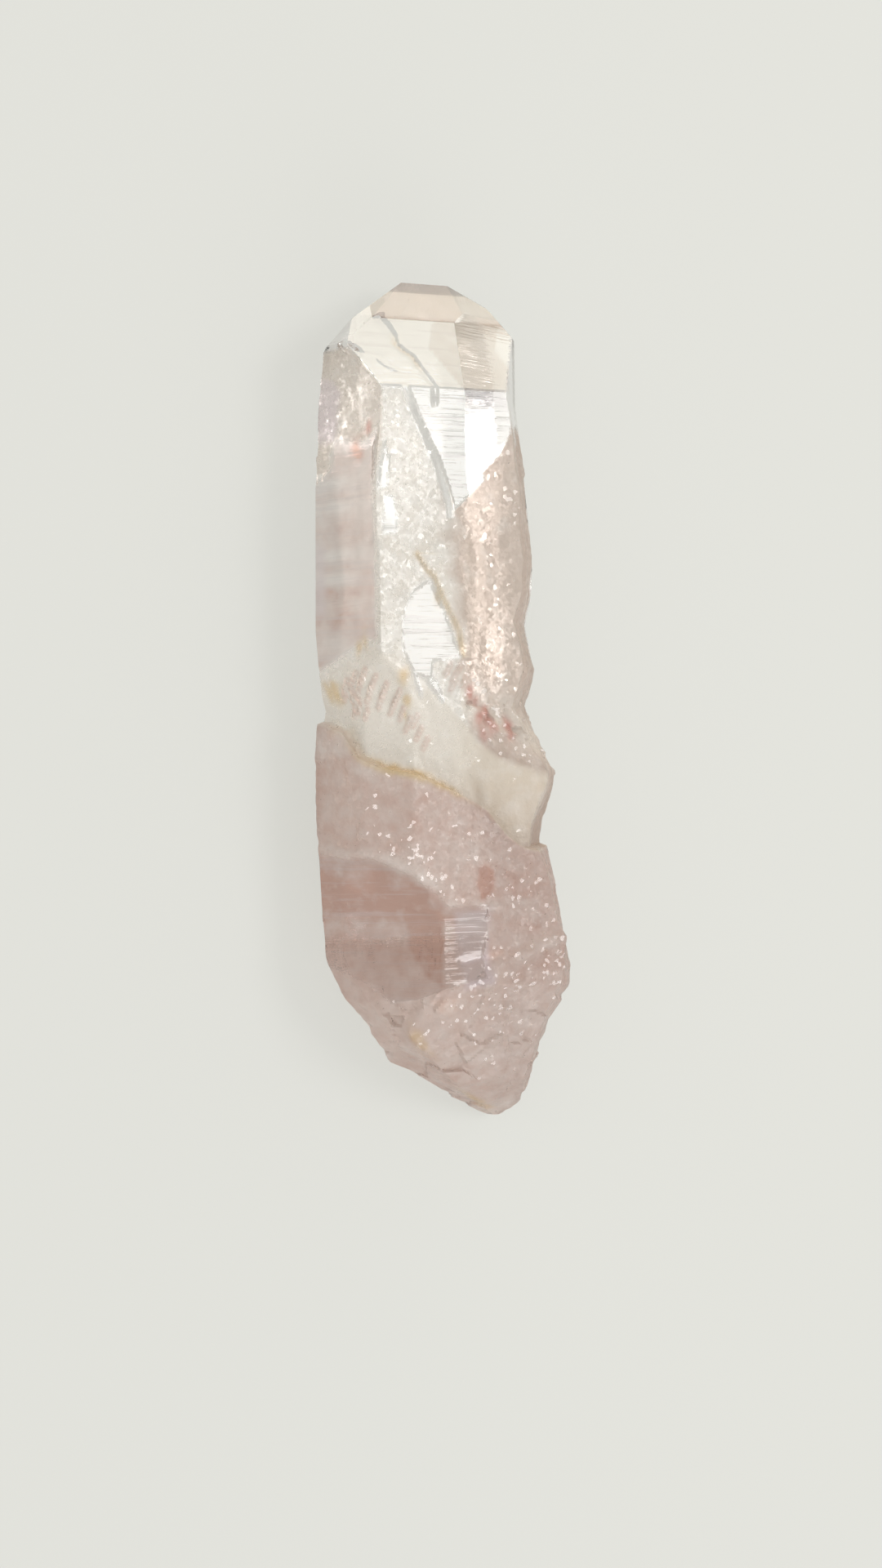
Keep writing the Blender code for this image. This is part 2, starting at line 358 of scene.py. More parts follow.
@dataclass(frozen=True)
class Marks:
    """Where things lie on the surface.

    Points are given by the distance across, round from the top face's left edge, and by y.
    """

    slope_top: Line = ((-19, 12.0), (-11, 13.1), (-5, 15.9), (-2.8, 17.0), (0.7, 16.7), (3.3, 14.4),
                       (5.2, 12.9), (8.7, 10.3), (12.8, 5.1), (15, 2.7), (19.3, 0.7), (23, 0.0), (30, -1.0))
    seam: Line = ((-19, 7.5), (-10.7, 6.7), (-7.2, 5.5), (-4.2, 2.2), (-1.4, 1.0), (4.2, -0.1),
                  (8.8, -2.0), (12.5, -3.7), (14.7, -4.9), (18.3, -8.4), (20.5, -9.8), (22, -10.5),
                  (31, -10.0))
    seam_depth: Line = ((-19, 0.5), (-11, 0.7), (-3, 1.5), (5, 2.2), (18, 2.2), (24, 1.2), (32, 0.8))
    groove: Line = ((3.7, 50.3), (4.9, 47.0), (6.7, 43.7), (8.5, 40.5), (9.9, 37.1), (10.6, 34.5))
    window: Line = ((3.7, 50.3), (18, 50.3), (18, 45.0), (16.9, 42.1), (14.4, 39.4), (14.9, 38.6),
                    (11.6, 35.3), (10.6, 34.5), (9.9, 37.1), (8.5, 40.5), (6.7, 43.7), (4.9, 47.0))
    wand: Line = ((3.2, 61.2), (4.9, 59.9), (6.2, 58.1), (7.1, 55.8), (7.7, 55.1), (7.5, 53.7),
                  (7.4, 51.6), (7.3, 49.7), (7.3, 48.2))
    fin: Line = ((7.1, 25.5), (4.6, 24.0), (3.5, 21.9), (2.9, 19.3), (2.9, 16.5), (3.5, 14.6), (4.9, 12.9),
                 (7.0, 11.8), (7.1, 14.6), (11.2, 15.2), (10.0, 18.4), (8.6, 22.0), (7.7, 24.1))
    fin_step: Line = ((5.1, 28.6), (6.5, 26.5), (7.4, 25.7), (8.4, 23.4), (9.6, 21.0), (10.8, 18.6),
                      (11.4, 15.5))
    lower_crest: Line = ((-11.0, -9.8), (-7.8, -10.5), (-2.8, -10.5), (0.7, -11.7), (3.9, -13.1),
                         (6.5, -14.9), (8.3, -16.4), (8.8, -17.6))
    lower_facet: Line = ((-11.5, -10.4), (-7.8, -11.0), (-2.8, -11.0), (0.7, -12.2), (3.9, -13.6),
                         (6.5, -15.4), (8.8, -17.6), (14.2, -17.5), (14.0, -22.2), (12.6, -27.0),
                         (7.2, -28.2), (3.0, -29.6), (-1.0, -30.0), (-6.0, -27.0), (-11.5, -25.0))
    # A patch of painted shade on the lower facet.
    brown_shade_patch: Line = ((2.0, -18.5), (7.5, -17.8), (8.0, -22.0), (6.5, -28.0), (4.6, -27.0), (2.6, -22.0))
    # A band of painted shade on the cap's right, standing in for a darker reflection inside the cap.
    cap_shade: Line = ((11.4, 50.6), (21.0, 50.6), (21.0, 61.2), (11.4, 61.2))
    cap_milk_y: float = 61.3
    # A patch of painted highlight on the lower facet.
    highlight_patch: Line = ((4.7, -29.8), (9.0, -29.6), (8.2, -31.0), (7.0, -32.2), (5.2, -31.4))
    # Patches of painted lilac shade and reflection: on the lower facet, on the window's right and on the
    # upper left side.
    lilac_shade_patches: tuple[Line, ...] = (
        ((9.6, -18.3), (14.4, -18.0), (13.6, -27.8), (9.6, -28.6)),
        ((11.8, 50.3), (17.4, 50.3), (17.4, 48.2), (11.8, 48.6)),
        ((-13, 21), (-9.5, 21), (-9.5, 30), (-13, 32)), ((-12, 44), (-8, 44), (-7, 52), (-12, 54)))
    facet_step: Line = ((10.0, -25.0), (16.0, -23.9))
    glints: tuple[Line, ...] = (
        ((0.2, 31.2), (2.3, 31.4), (2.0, 36.0), (0.5, 36.4)),
        ((-0.2, 37.0), (1.0, 37.2), (1.3, 40.6), (0.2, 43.8)),
        ((3.6, 15.0), (4.4, 11.9), (5.2, 9.6), (5.6, 10.0), (4.9, 12.6), (4.2, 15.4)),
        ((6.0, 11.9), (8.3, 9.0), (8.6, 9.6), (7.6, 12.2)))
    hillock: Line = ((-2.0, 56.8), (-0.6, 57.3), (1.1, 56.0), (1.0, 54.8), (-0.3, 54.4), (-1.6, 55.4))
    arc: Line = ((3.6, 55.1), (3.0, 54.9), (2.6, 54.2), (3.1, 53.5), (3.9, 53.1))
    scratches: Spots = (
        (-7.5, 10.6, 1.9), (-6.6, 11.4, 2.2), (-5.9, 10.2, 1.6), (-5.2, 12.2, 2.4), (-4.4, 11.0, 2.0),
        (-3.4, 12.9, 1.7), (-2.7, 10.4, 2.3), (-1.9, 11.9, 1.9), (-1.0, 9.6, 2.1), (-0.2, 11.0, 1.7),
        (0.8, 8.7, 1.9), (1.6, 9.9, 2.0), (2.3, 7.8, 1.6), (3.2, 6.4, 1.8), (4.4, 6.9, 1.5), (4.9, 5.2, 1.7),
        (-6.1, 8.4, 1.4), (-4.8, 8.9, 1.8), (-3.7, 7.9, 1.5), (5.9, 3.9, 1.4), (9.3, 13.6, 1.5),
        (10.2, 12.8, 1.7), (10.9, 13.7, 1.4), (9.9, 11.5, 1.3), (11.6, 12.1, 1.5))
    stroke_lean: float = 0.25
    stroke_rise: float = 0.45
    root_crest: Line = ((24.4, -22.3), (20.2, -24.0), (14.6, -26.3), (12.6, -27.8))
    tan_spots: Spots = (
        (-2.8, 17.5, 1.0), (-3.8, 16.5, 0.8), (3.0, 12.6, 1.1), (3.2, 9.7, 0.8), (2.9, 7.6, 0.6),
        (8.0, 23.1, 0.7), (0.6, -35.6, 1.5), (-0.2, -45.6, 1.4), (-8.9, 10.8, 1.3), (-10.2, 11.3, 1.0))
    red_spots: Spots = (
        (12.6, 10.4, 1.3), (13.4, 8.8, 1.5), (14.6, 7.0, 1.5), (13.6, 4.8, 0.8), (17.0, 6.0, 1.3),
        (-2.2, 45.4, 0.7))
    # Dark blots; the one at the column's top is a painted shadow where the pink corner meets the column.
    dark_blots_and_shadow: Spots = ((13.7, -14.4, 1.3), (-4.3, 42.8, 1.4))
    seam_middle: float = -2.0
    seam_reach: float = 22.0
    seam_left_end: float = -17.5
    seam_right_end: float = 26.0
    seam_fade: float = 11.0

    def seam_share(self, across: Array) -> Array:
        """How much there is of the seam: all on the upper faces, fading out round both sides."""
        left = smooth(1.0 - (self.seam_left_end - across) / self.seam_fade)
        return left * smooth(1.0 - (across - self.seam_right_end) / self.seam_fade)

    def strokes(self) -> list[Line]:
        """The two ends of each short leaning stroke on the slope."""
        ends = [(self.stroke_lean * size, self.stroke_rise * size) for _, _, size in self.scratches]
        return [((m - a, y - b), (m + a, y + b)) for (m, y, _), (a, b) in zip(self.scratches, ends)]


@dataclass(frozen=True)
class Places:
    """Points of the ideal form in a row, each with its distance across and its side's number."""

    points: Array
    across: Array
    side: Array

    @property
    def y(self) -> Array:
        """The place along the growth axis."""
        return self.points[:, 1]

    @property
    def front(self) -> Array:
        """Whether each point is on one of the three upturned sides."""
        return np.isin(self.side, FRONT_SIDES)

    def on(self, side: Side) -> Array:
        """Whether each point is on the given side."""
        return self.side == side.value

    def near(self, line: Line, width: float, lift: float = 0.0) -> Array:
        """A bell curve of the distance to a line, which may be lifted along y: 1 on it, 0 well away."""
        return np.exp(-(line_distance(line, self.across, self.y - lift) / width) ** 2)

    def within(self, outline: Line, edge: float) -> Array:
        """A soft step from 0 outside an outline to 1 inside it, over the width of the edge."""
        return smooth(depth_inside(outline, self.across, self.y) / edge + 0.5)


@dataclass(frozen=True)
class Grounds:
    """Which kind of ground each place stands on, from 0 to 1.

    Whole growth faces are clear. The rest is etched: the slope above the slanting seam, the later
    growth below it, the right side, the pink left corner, the broken ground and the root. A border
    has where it begins and how wide it is, a reach where it begins and ends, and a hackle its width
    and how far it is shifted along y.
    """

    marks: Marks
    shoulders: tuple[float, ...]
    window_edge: float = 0.35
    facet_edge: float = 0.6
    glint_edge: float = 0.3
    wave_height: float = 0.5
    wave_size: float = 2.2
    column_foot: float = 12.0
    column_top: float = 43.0
    column_top_slant: float = 0.5
    column_top_raggedness: float = 3.5
    column_top_lump: float = 4.0
    column_middle: float = -6.0
    column_right: float = -0.5
    column_waviness: float = 0.3
    column_edges: tuple[float, float, float] = (1.0, 2.0, 1.5)
    strip_width: float = 1.1
    strip_reach: tuple[float, float] = (33.5, 50.4)
    cap_left: float = 55.9
    cap_right: float = 45.0
    cap_right_waviness: float = 5.0
    cap_right_edge: float = 2.0
    cap_overlap: float = 0.3
    cap_edge: float = 0.4
    underside_clear: tuple[float, float] = (-24.0, 3.0)
    back_clear: tuple[float, float] = (4.0, 5.0)
    back_waviness: float = 10.0
    slope_right: tuple[float, float] = (28.0, 9.0)
    slope_left: tuple[float, float] = (-19.0, 6.0)
    slope_edges: tuple[float, float] = (1.0, 1.5)
    right_start: float = 8.5
    right_waviness: float = 2.0
    right_slant: float = 0.10
    right_middle: float = 25.0
    right_edge: float = 3.5
    root: tuple[float, float] = (-24.0, 8.0)
    later_edge: float = 0.6
    later_widening: float = 0.05
    later_wide_from: float = 12.0
    later_wide_reach: float = 20.0
    back_later: tuple[float, float] = (2.0, 4.0)
    broken_left: float = 11.0
    broken_rise: float = 4.5
    broken_reach: float = 4.0
    pink_foot: float = 40.0
    root_hackle: tuple[float, float] = (4.0, -3.0)
    crest_hackle: tuple[float, float] = (2.2, 1.5)

    def read(self, at: Places) -> dict[str, Array]:
        """Work out every kind of ground.

        Args:
            at: the places.

        Returns:
            The share of each kind of ground by its name, and how far left of the groove a place is.
        """
        y, across, m = at.y, at.across, self.marks
        seam_y, top_y = read_line(m.seam, across), read_line(m.slope_top, across)
        wave = self.wave_height * soft_noise(at.points, self.wave_size, 5)
        left_of_groove = read_across(m.groove, y) - across
        half = 0.5 * self.strip_width
        strip = smooth(1.5 - np.abs(left_of_groove - half) / half)
        strip = strip * (y > self.strip_reach[0]) * (y < self.strip_reach[1]) * at.on(Side.TOP)
        clear = self.clear(at, wave, strip, top_y)
        slope = step(self.slope_right[0], across, self.slope_right[1]) * step(across, *self.slope_left)
        slope = slope * step(y, seam_y, self.slope_edges[0]) * step(top_y, y, self.slope_edges[1])
        right = across - self.right_start - self.right_waviness * wave
        right = smooth((right + self.right_slant * (y - self.right_middle)) / self.right_edge)
        wide = np.clip(across - self.later_wide_from, 0.0, self.later_wide_reach)
        later = smooth((seam_y - y) / (self.later_edge + self.later_widening * wide) + 0.5)
        broken = np.exp(-((y - top_y - self.broken_rise) / self.broken_reach) ** 2)
        return {
            "clear": clear,
            "slope": np.where(at.front & (y > seam_y) & (y < top_y), slope, 0.0),
            "strip": strip,
            "left_of_groove": left_of_groove,
            "root": step(self.root[0], y, self.root[1]),
            "later": np.where(at.front, later, step(self.back_later[0], y, self.back_later[1])),
            "right": right * at.front * (y > seam_y) * (1.0 - clear),
            "broken": np.where(at.front & (across > self.broken_left) & (y > top_y), broken, 0.0),
            "pink": np.where(at.on(Side.UPPER_LEFT) & (y > self.pink_foot), 1.0 - clear, 0.0),
            "hackly": at.front * (at.near(m.root_crest, *self.root_hackle)
                                  + at.near(m.lower_crest, *self.crest_hackle)),
        }

    def clear(self, at: Places, wave: Array, strip: Array, top_y: Array) -> Array:
        """The whole growth faces: cap, window, fin, lower facet, left column, strip and hidden sides.

        Args:
            at: the places.
            wave: noise that makes the borders ragged.
            strip: the share of the thin clear strip along the groove.
            top_y: the y of the slope's top at each place.

        Returns:
            1 on whole faces and 0 on etched ground.
        """
        y, across, m = at.y, at.across, self.marks
        side_edge, top_edge, foot_edge = self.column_edges
        uneven = self.column_top_raggedness * soft_noise(at.points, self.column_top_lump, 6)
        ragged_top = self.column_top + uneven + self.column_top_slant * (across - self.column_middle)
        column = smooth((self.column_waviness * wave + self.column_right - across) / side_edge)
        column = column * step(ragged_top, y, top_edge) * step(y, top_y, foot_edge)
        column = np.where(at.on(Side.UPPER_LEFT) & (y > self.column_foot), column, 0.0)
        cap_right = step(y - self.cap_right_waviness * wave, self.cap_right, self.cap_right_edge)
        shoulder = np.array(self.shoulders)[at.side]
        cap = step(y, shoulder - self.cap_overlap, self.cap_edge)
        cap = np.where(at.on(Side.UPPER_RIGHT), cap_right, cap)
        cap = np.where(at.on(Side.UPPER_LEFT), step(y, self.cap_left, self.cap_edge), cap)
        shapes = [at.within(m.window, self.window_edge), at.within(m.fin, self.window_edge),
                  at.within(m.lower_facet, self.facet_edge)]
        shapes += [at.within(glint, self.glint_edge) for glint in m.glints]
        front = np.maximum.reduce(shapes + [column, cap, strip])
        back = step(y - self.back_waviness * wave, *self.back_clear)
        back = np.where(at.on(Side.BOTTOM), step(y, *self.underside_clear), back)
        return np.where(at.front, front, back)


@dataclass(frozen=True)
class Relief:
    """How far the surface stands out from the ideal form.

    A lip, a ridge or a hillock has its height and its width, a reach where it begins and ends, and
    the fades how wide the lower and the upper border are. The right lean grows to its limit, and
    returns from a place at a rate.
    """

    marks: Marks
    strip_width: float
    seam_lip: tuple[float, float] = (0.35, 6.0)
    etch_depth: float = 0.6
    etch_reach: tuple[float, float] = (28.0, 50.3)
    etch_fades: tuple[float, float] = (5.0, 2.5)
    wand: tuple[float, float] = (0.20, 0.30)
    hillock: tuple[float, float] = (0.25, 0.5)
    arc: tuple[float, float] = (0.12, 0.4)
    scratch: tuple[float, float] = (0.24, 0.28)
    facet_step: tuple[float, float] = (0.18, 0.4)
    lower_crest: tuple[float, float] = (0.35, 0.7)
    root_crest: tuple[float, float] = (0.8, 1.3)
    fin_step: float = 0.55
    fin_step_reach: tuple[float, float] = (15.0, 28.6)
    fin_step_edge: float = 0.4
    fin_step_fall: float = 3.0
    fin_step_limit: float = 9.0
    right_lean: float = 0.11
    right_lean_start: float = 8.5
    right_lean_reach: float = 8.5
    right_lean_return: tuple[float, float] = (22.0, 2.0)
    right_lean_limit: float = 9.0
    right_lean_foot: float = 6.0
    right_lean_top: tuple[float, float] = (40.0, 8.0)
    lumps: tuple[Lump, ...] = ((0.30, 6.0, 11), (0.12, 2.6, 12))
    streaks: Lump = (0.07, 1.2, 13)
    streak_turn: tuple[Point, Point, Point] = ((0.9, -0.35, 0.0), (0.5, 0.45, 0.0), (0.0, 0.0, 1.0))
    waves: Lump = (0.20, 1.3, 14)
    chips: tuple[Chip, ...] = ((1.0, 2.4, 0.18, 21), (0.8, 1.1, 0.26, 31))
    chip_shares: Shares = (
        0.32, ("slope", -0.20), ("right", -0.05), ("broken", 1.2), ("later", -0.08), ("hackly", 0.4))
    streak_shares: Shares = (0.4, ("slope", 1.2), ("later", 1.0))
    lump_shares: Shares = (1.0, ("slope", -0.7))
    root_lumps: Lump = (0.6, 8.0, 41)
    root_chips: Chip = (0.35, 5.0, 0.30, 51)
    strikes: tuple[Point, ...] = ((-13.0, -30.0, 8.0), (17.0, -36.0, 6.0), (2.0, -41.0, 12.0))
    ripple_length: float = 2.4
    ripple_height: float = 0.28
    ripple_reach: float = 6.0

    def height(self, at: Places, ground: dict[str, Array]) -> Array:
        """The whole relief: steps and ridges everywhere, and the rough ground where it is not clear.

        Args:
            at: the places.
            ground: the kinds of ground there.

        Returns:
            How far each place stands out, in millimetres.
        """
        return self.steps(at, ground) + self.ridges(at) + (1.0 - ground["clear"]) * self.rough(at, ground)

    def steps(self, at: Places, ground: dict[str, Array]) -> Array:
        """The seam's lip with the hollow above it, the etched strip, the fin's step and the right lean.

        The hollow is deepest at the seam and fades up the slope. The etched ground falls away from
        the groove. The step beside the fin stands up sharply and dies away to the right.

        Args:
            at: the places.
            ground: the kinds of ground there.

        Returns:
            The height of these steps.
        """
        y, across, m = at.y, at.across, self.marks
        seam_y, top_y = read_line(m.seam, across), read_line(m.slope_top, across)
        depth = read_line(m.seam_depth, across) * smooth((top_y - y) / (top_y - seam_y))
        lip = self.seam_lip[0] * smooth(1.0 - (seam_y - y) / self.seam_lip[1])
        height = m.seam_share(across) * np.where(y <= seam_y, lip, np.where(y < top_y, -depth, 0.0))
        low, high = self.etch_reach
        down = self.etch_depth * np.clip(ground["left_of_groove"] / self.strip_width, 0.0, 1.0)
        down = down * step(high, y, self.etch_fades[1]) * step(y, low, self.etch_fades[0])
        height -= np.where(at.on(Side.TOP) & (y > low) & (y < high), down, 0.0)
        past = across - read_across(m.fin_step, y)
        up = self.fin_step * np.clip(past / self.fin_step_edge + 0.5, 0.0, 1.0)
        up = up * np.exp(-np.clip(past, 0.0, self.fin_step_limit) / self.fin_step_fall)
        low, high = self.fin_step_reach
        height += np.where(at.on(Side.TOP) & (y > low) & (y < high), up, 0.0)
        back_from, back_rate = self.right_lean_return
        lean = np.minimum(np.clip(across - self.right_lean_start, 0.0, self.right_lean_reach),
                          np.clip(back_rate * (back_from - across), 0.0, self.right_lean_limit))
        lean_top, lean_edge = self.right_lean_top
        lean = lean * step(y, top_y, self.right_lean_foot) * step(lean_top, y, lean_edge)
        return height - np.where(at.front, self.right_lean * lean, 0.0)

    def ridges(self, at: Places) -> Array:
        """Narrow ridges, each a bell curve across its line, with one hillock and one sunken arc.

        Args:
            at: the places.

        Returns:
            The height of the ridges.
        """
        m = self.marks
        height = self.hillock[0] * smooth(depth_inside(m.hillock, at.across, at.y) / self.hillock[1])
        for line, (rise, width) in ((m.wand, self.wand), (m.facet_step, self.facet_step)):
            height += np.where(at.on(Side.TOP), rise * at.near(line, width), 0.0)
        lines = [(m.lower_crest, self.lower_crest), (m.root_crest, self.root_crest)]
        lines += [(stroke, self.scratch) for stroke in m.strokes()]
        for line, (rise, width) in lines:
            height += np.where(at.front, rise * at.near(line, width), 0.0)
        arc = np.clip(1.0 - line_distance(m.arc, at.across, at.y) / self.arc[1], 0.0, 1.0)
        return height - np.where(at.front, self.arc[0] * arc, 0.0)

    def rough(self, at: Places, ground: dict[str, Array]) -> Array:
        """The rough ground: soft lumps, leaning streaks, upright waves, flat chips and the hackly root.

        The root has larger lumps and slabs, and ripples that fade with the distance from each place
        where it was struck, as sine waves of that distance.

        Args:
            at: the places.
            ground: the kinds of ground there.

        Returns:
            The height of the rough ground.
        """
        points = at.points
        lumps = sum(rise * soft_noise(points, size, seed) for rise, size, seed in self.lumps)
        rise, size, seed = self.streaks
        streaks = rise * soft_noise(points @ np.array(self.streak_turn), size, seed)
        rise, size, seed = self.waves
        waves = rise * soft_noise(points * DRAWN_ALONG, size, seed) * ground["right"]
        chips = sum(rise * hackle(points, size, tilt, seed) for rise, size, tilt, seed in self.chips)
        share = np.clip(blend(ground, self.chip_shares), 0.0, 2.0)
        ripples = np.zeros(len(points))
        for strike in self.strikes:
            away = np.linalg.norm(points - np.array(strike), axis=1)
            wave = np.sin(2.0 * math.pi * away / self.ripple_length)
            ripples += self.ripple_height * np.exp(-away / self.ripple_reach) * wave
        rise, size, seed = self.root_lumps
        root = rise * soft_noise(points, size, seed)
        rise, size, tilt, seed = self.root_chips
        root = root + rise * hackle(points, size, tilt, seed) + ripples
        return (lumps * blend(ground, self.lump_shares) + streaks * blend(ground, self.streak_shares)
                + waves + chips * share + ground["root"] * root)


@dataclass(frozen=True)
class Paint:
    """The painted grounds that the finish reads: how frosted, stained, milky and smoky a place is.

    A tint has its amount and its width, a border where it begins and how wide it is, and a reach
    where it begins and ends. Some layers also carry painted shade, highlights and reflection,
    which are named where they are laid on.
    """

    marks: Marks
    shoulders: tuple[float, ...]
    ragged_size: float = 1.2
    # The least tan along the seam, and what its strong stretch adds.
    seam_tan: tuple[float, float] = (0.3, 0.7)
    seam_tan_width: float = 0.6
    border_raggedness: float = 0.3
    seam_thin_from: float = 14.0
    seam_thinning: float = 2.2
    seam_strong_left: tuple[float, float] = (-8.0, 10.0)
    seam_strong_right: tuple[float, float] = (13.0, 5.0)
    seam_tan_left: tuple[float, float] = (-15.0, 7.0)
    wand_tan: tuple[float, float] = (0.7, 0.35)
    wand_tan_reach: tuple[float, float, float] = (52.0, 59.0, 2.0)
    step_tan: tuple[float, float] = (0.6, 0.4)
    spot_tan: float = 0.7
    slope_tan: float = 0.22
    slope_tan_left: tuple[float, float] = (8.0, 8.0)
    spot_width: float = 0.6
    spot_height: float = 1.3
    spot_raggedness: float = 0.8
    frost: Shares = (0.62, ("right", 0.5), ("later", 0.3))
    frost_raggedness: float = 0.1
    frost_limit: float = 1.3
    milk: Shares = (0.75, ("right", -0.10), ("later", -0.15), ("pink", 0.2), ("broken", 0.45))
    back_milk: float = 0.4
    slope_milk: float = 0.25
    later_milk: float = -0.15
    cap_milk: float = 0.42
    cap_milk_edge: float = 0.2
    # The painted highlight patch's extra milkiness and its edge.
    highlight_milk: tuple[float, float] = (0.35, 0.8)
    step_milk: tuple[float, float] = (0.5, 0.35)
    band_size: float = 1.6
    later_smoke: Shares = (0.66, ("root", -0.14))
    later_bands: float = -0.12
    # Less smoke along the crests: a painted highlight.
    crest_highlight: float = -0.2
    crest_widths: tuple[float, float] = (1.3, 1.0)
    # How dark the blots are, the painted shadow at the column's top among them.
    dark_blot_and_shadow: float = 0.8
    column_smoke: float = 0.45
    column_bands: float = 0.25
    column_reach: tuple[float, float] = (10.0, 50.0)
    # What the column's foot and the upper facet's painted shade add, where they begin and how soft the border
    # is.
    column_foot: tuple[float, float, float] = (0.2, 32.0, 12.0)
    facet_smoke: tuple[float, float] = (0.12, 1.2)
    upper_facet_shade: tuple[float, float, float] = (0.22, -20.0, 0.8)
    # The painted shade of the brown patch and its edge.
    patch_shade: tuple[float, float] = (0.30, 0.8)
    # The painted shade round a stroke: its amount, how far beside it lies and how wide it is.
    stroke_shade: tuple[float, float, float] = (0.45, 0.25, 0.22)
    smoke_limit: float = 1.2
    back_smoke: float = 0.45
    # The painted lilac shade's edge, and its share on the upper patches.
    lilac_shade_edge: float = 1.5
    upper_lilac_shade: float = 0.6
    rosy: float = 1.1
    rosy_streaks: tuple[float, float] = (0.25, 1.1)
    # The cap band's painted shade, laid on with the rosy tint, and its edge.
    cap_shade_share: tuple[float, float] = (0.55, 0.3)
    pink_rosy: float = 0.4
    broken_rosy: float = -0.6
    rosy_limit: float = 1.3
    glitter_factors: Factors = (("slope", -0.75), ("root", -0.5), ("right", -0.1), ("pink", -0.6))
    broken_glitter: float = 0.4
    hackly_glitter: float = 0.5
    # The least share of glinting chips, what the noise adds and the size of the noise.
    glint: tuple[float, float, float] = (0.015, 0.06, 3.0)
    slope_glint: float = -0.6
    broken_glint: float = 0.10
    hackly_glint: float = 0.09
    back_ladder: float = 0.7
    lilac_shade_ladder: float = -0.65

    def layers(self, at: Places, ground: dict[str, Array]) -> dict[str, Array]:
        """Work out every painted layer.

        Args:
            at: the places.
            ground: the kinds of ground there.

        Returns:
            The amount of each layer at each place, by the layer's name.
        """
        m, front, rough = self.marks, at.front, 1.0 - ground["clear"]
        ragged = soft_noise(at.points, self.ragged_size, 61)
        # Painted lilac shade and reflection, weaker on the upper patches.
        lilac_shade = np.maximum.reduce([at.within(patch, self.lilac_shade_edge) for patch in m.lilac_shade_patches])
        lilac_shade = np.where(front, lilac_shade * np.where(at.y < 0.0, 1.0, self.upper_lilac_shade), 0.0)
        frost = rough * (blend(ground, self.frost) + self.frost_raggedness * ragged)
        ladder = ground["clear"] * np.where(front, 1.0 - ground["strip"], self.back_ladder)
        ladder = ladder * (1.0 + self.lilac_shade_ladder * lilac_shade)
        ladder = np.where(at.y > np.array(self.shoulders)[at.side], 0.0, ladder)
        glitter, glint = self.sparkle(at, ground, rough)
        return {
            "frost": np.clip(frost, 0.0, self.frost_limit),
            "tan": self.tan(at, ground, ragged),
            "red": self.spots(m.red_spots, at, ragged) * front,
            "smoke_and_shade": self.smoke_and_shade(at, ground, ragged),
            "milk": self.milkiness(at, ground, rough),
            "rosy": self.rosiness(at, ground),
            "lilac_shade": lilac_shade,
            "glitter": glitter,
            "glint": glint,
            "ladder": ladder,
        }

    def tan(self, at: Places, ground: dict[str, Array], ragged: Array) -> Array:
        """The tan stain along the seam, the cap's ridge and the fin's step, with blots and a faint slope.

        Args:
            at: the places.
            ground: the kinds of ground there.
            ragged: noise that frays the borders.

        Returns:
            The strongest of the tan stains at each place.
        """
        y, across, m = at.y, at.across, self.marks
        thinning = np.where(across > self.seam_thin_from, self.seam_thinning, 1.0)
        seam = line_distance(m.seam, across, y) * thinning
        seam = np.exp(-((seam + self.border_raggedness * ragged) / self.seam_tan_width) ** 2)
        strong = step(across, *self.seam_strong_left)
        strong = strong * step(self.seam_strong_right[0], across, self.seam_strong_right[1])
        seam = seam * (self.seam_tan[0] + self.seam_tan[1] * strong) * step(across, *self.seam_tan_left)
        low, high, edge = self.wand_tan_reach
        wand = self.wand_tan[0] * at.near(m.wand, self.wand_tan[1]) * step(y, low, edge) * step(high, y, edge)
        fin_step = self.step_tan[0] * at.near(m.fin_step, self.step_tan[1])
        slope = self.slope_tan * ground["slope"] * step(across, *self.slope_tan_left)
        spots = self.spot_tan * self.spots(m.tan_spots, at, ragged)
        return np.where(at.front, np.maximum.reduce([seam, wand, fin_step, slope, spots]), 0.0)

    def milkiness(self, at: Places, ground: dict[str, Array], rough: Array) -> Array:
        """How milky the frosted ground is, with the top of the cap, a painted highlight patch and a white
        step.

        Args:
            at: the places.
            ground: the kinds of ground there.
            rough: how rough the ground is.

        Returns:
            The milkiness.
        """
        y, m = at.y, self.marks
        milk = np.where(at.front, rough * blend(ground, self.milk), self.back_milk * rough)
        milk = np.clip(milk + self.slope_milk * ground["slope"], 0.0, 1.0)
        front = np.maximum(milk, self.cap_milk * step(y, m.cap_milk_y, self.cap_milk_edge))
        # A painted highlight: the patch is made milkier and whiter.
        front = front + self.highlight_milk[0] * at.within(m.highlight_patch, self.highlight_milk[1])
        front = np.clip(front + self.step_milk[0] * at.near(m.facet_step, self.step_milk[1]), 0.0, 1.0)
        front = np.clip(front + self.later_milk * ground["later"], 0.0, 1.0)
        return np.where(at.front, front, milk)

    def smoke_and_shade(self, at: Places, ground: dict[str, Array], ragged: Array) -> Array:
        """How smoky it is, with painted shade and a painted highlight laid into the same layer: the later
        growth in faint bands, the left column, darker towards its foot, and the facet with its patches.

        Args:
            at: the places.
            ground: the kinds of ground there.
            ragged: noise that frays the borders.

        Returns:
            The smokiness, with its painted shade and highlight.
        """
        y, m = at.y, self.marks
        bands = soft_noise(at.points * DRAWN_ROUND, self.band_size, 62)
        # The crests are lighter: a painted highlight along their ridges.
        lower_width, root_width = self.crest_widths
        crest = np.maximum(at.near(m.lower_crest, lower_width), at.near(m.root_crest, root_width))
        later = blend(ground, self.later_smoke) + self.crest_highlight * crest + self.later_bands * bands
        low, high = self.column_reach
        column = np.where(at.on(Side.UPPER_LEFT) & (y > low) & (y < high), ground["clear"], 0.0)
        foot, foot_from, foot_edge = self.column_foot
        column = column * (self.column_smoke + self.column_bands * bands
                           + foot * step(foot_from, y, foot_edge))
        share, edge = self.facet_smoke
        facet = at.front * at.within(m.lower_facet, edge)
        smoke_and_shade = later * ground["later"] + column + share * facet
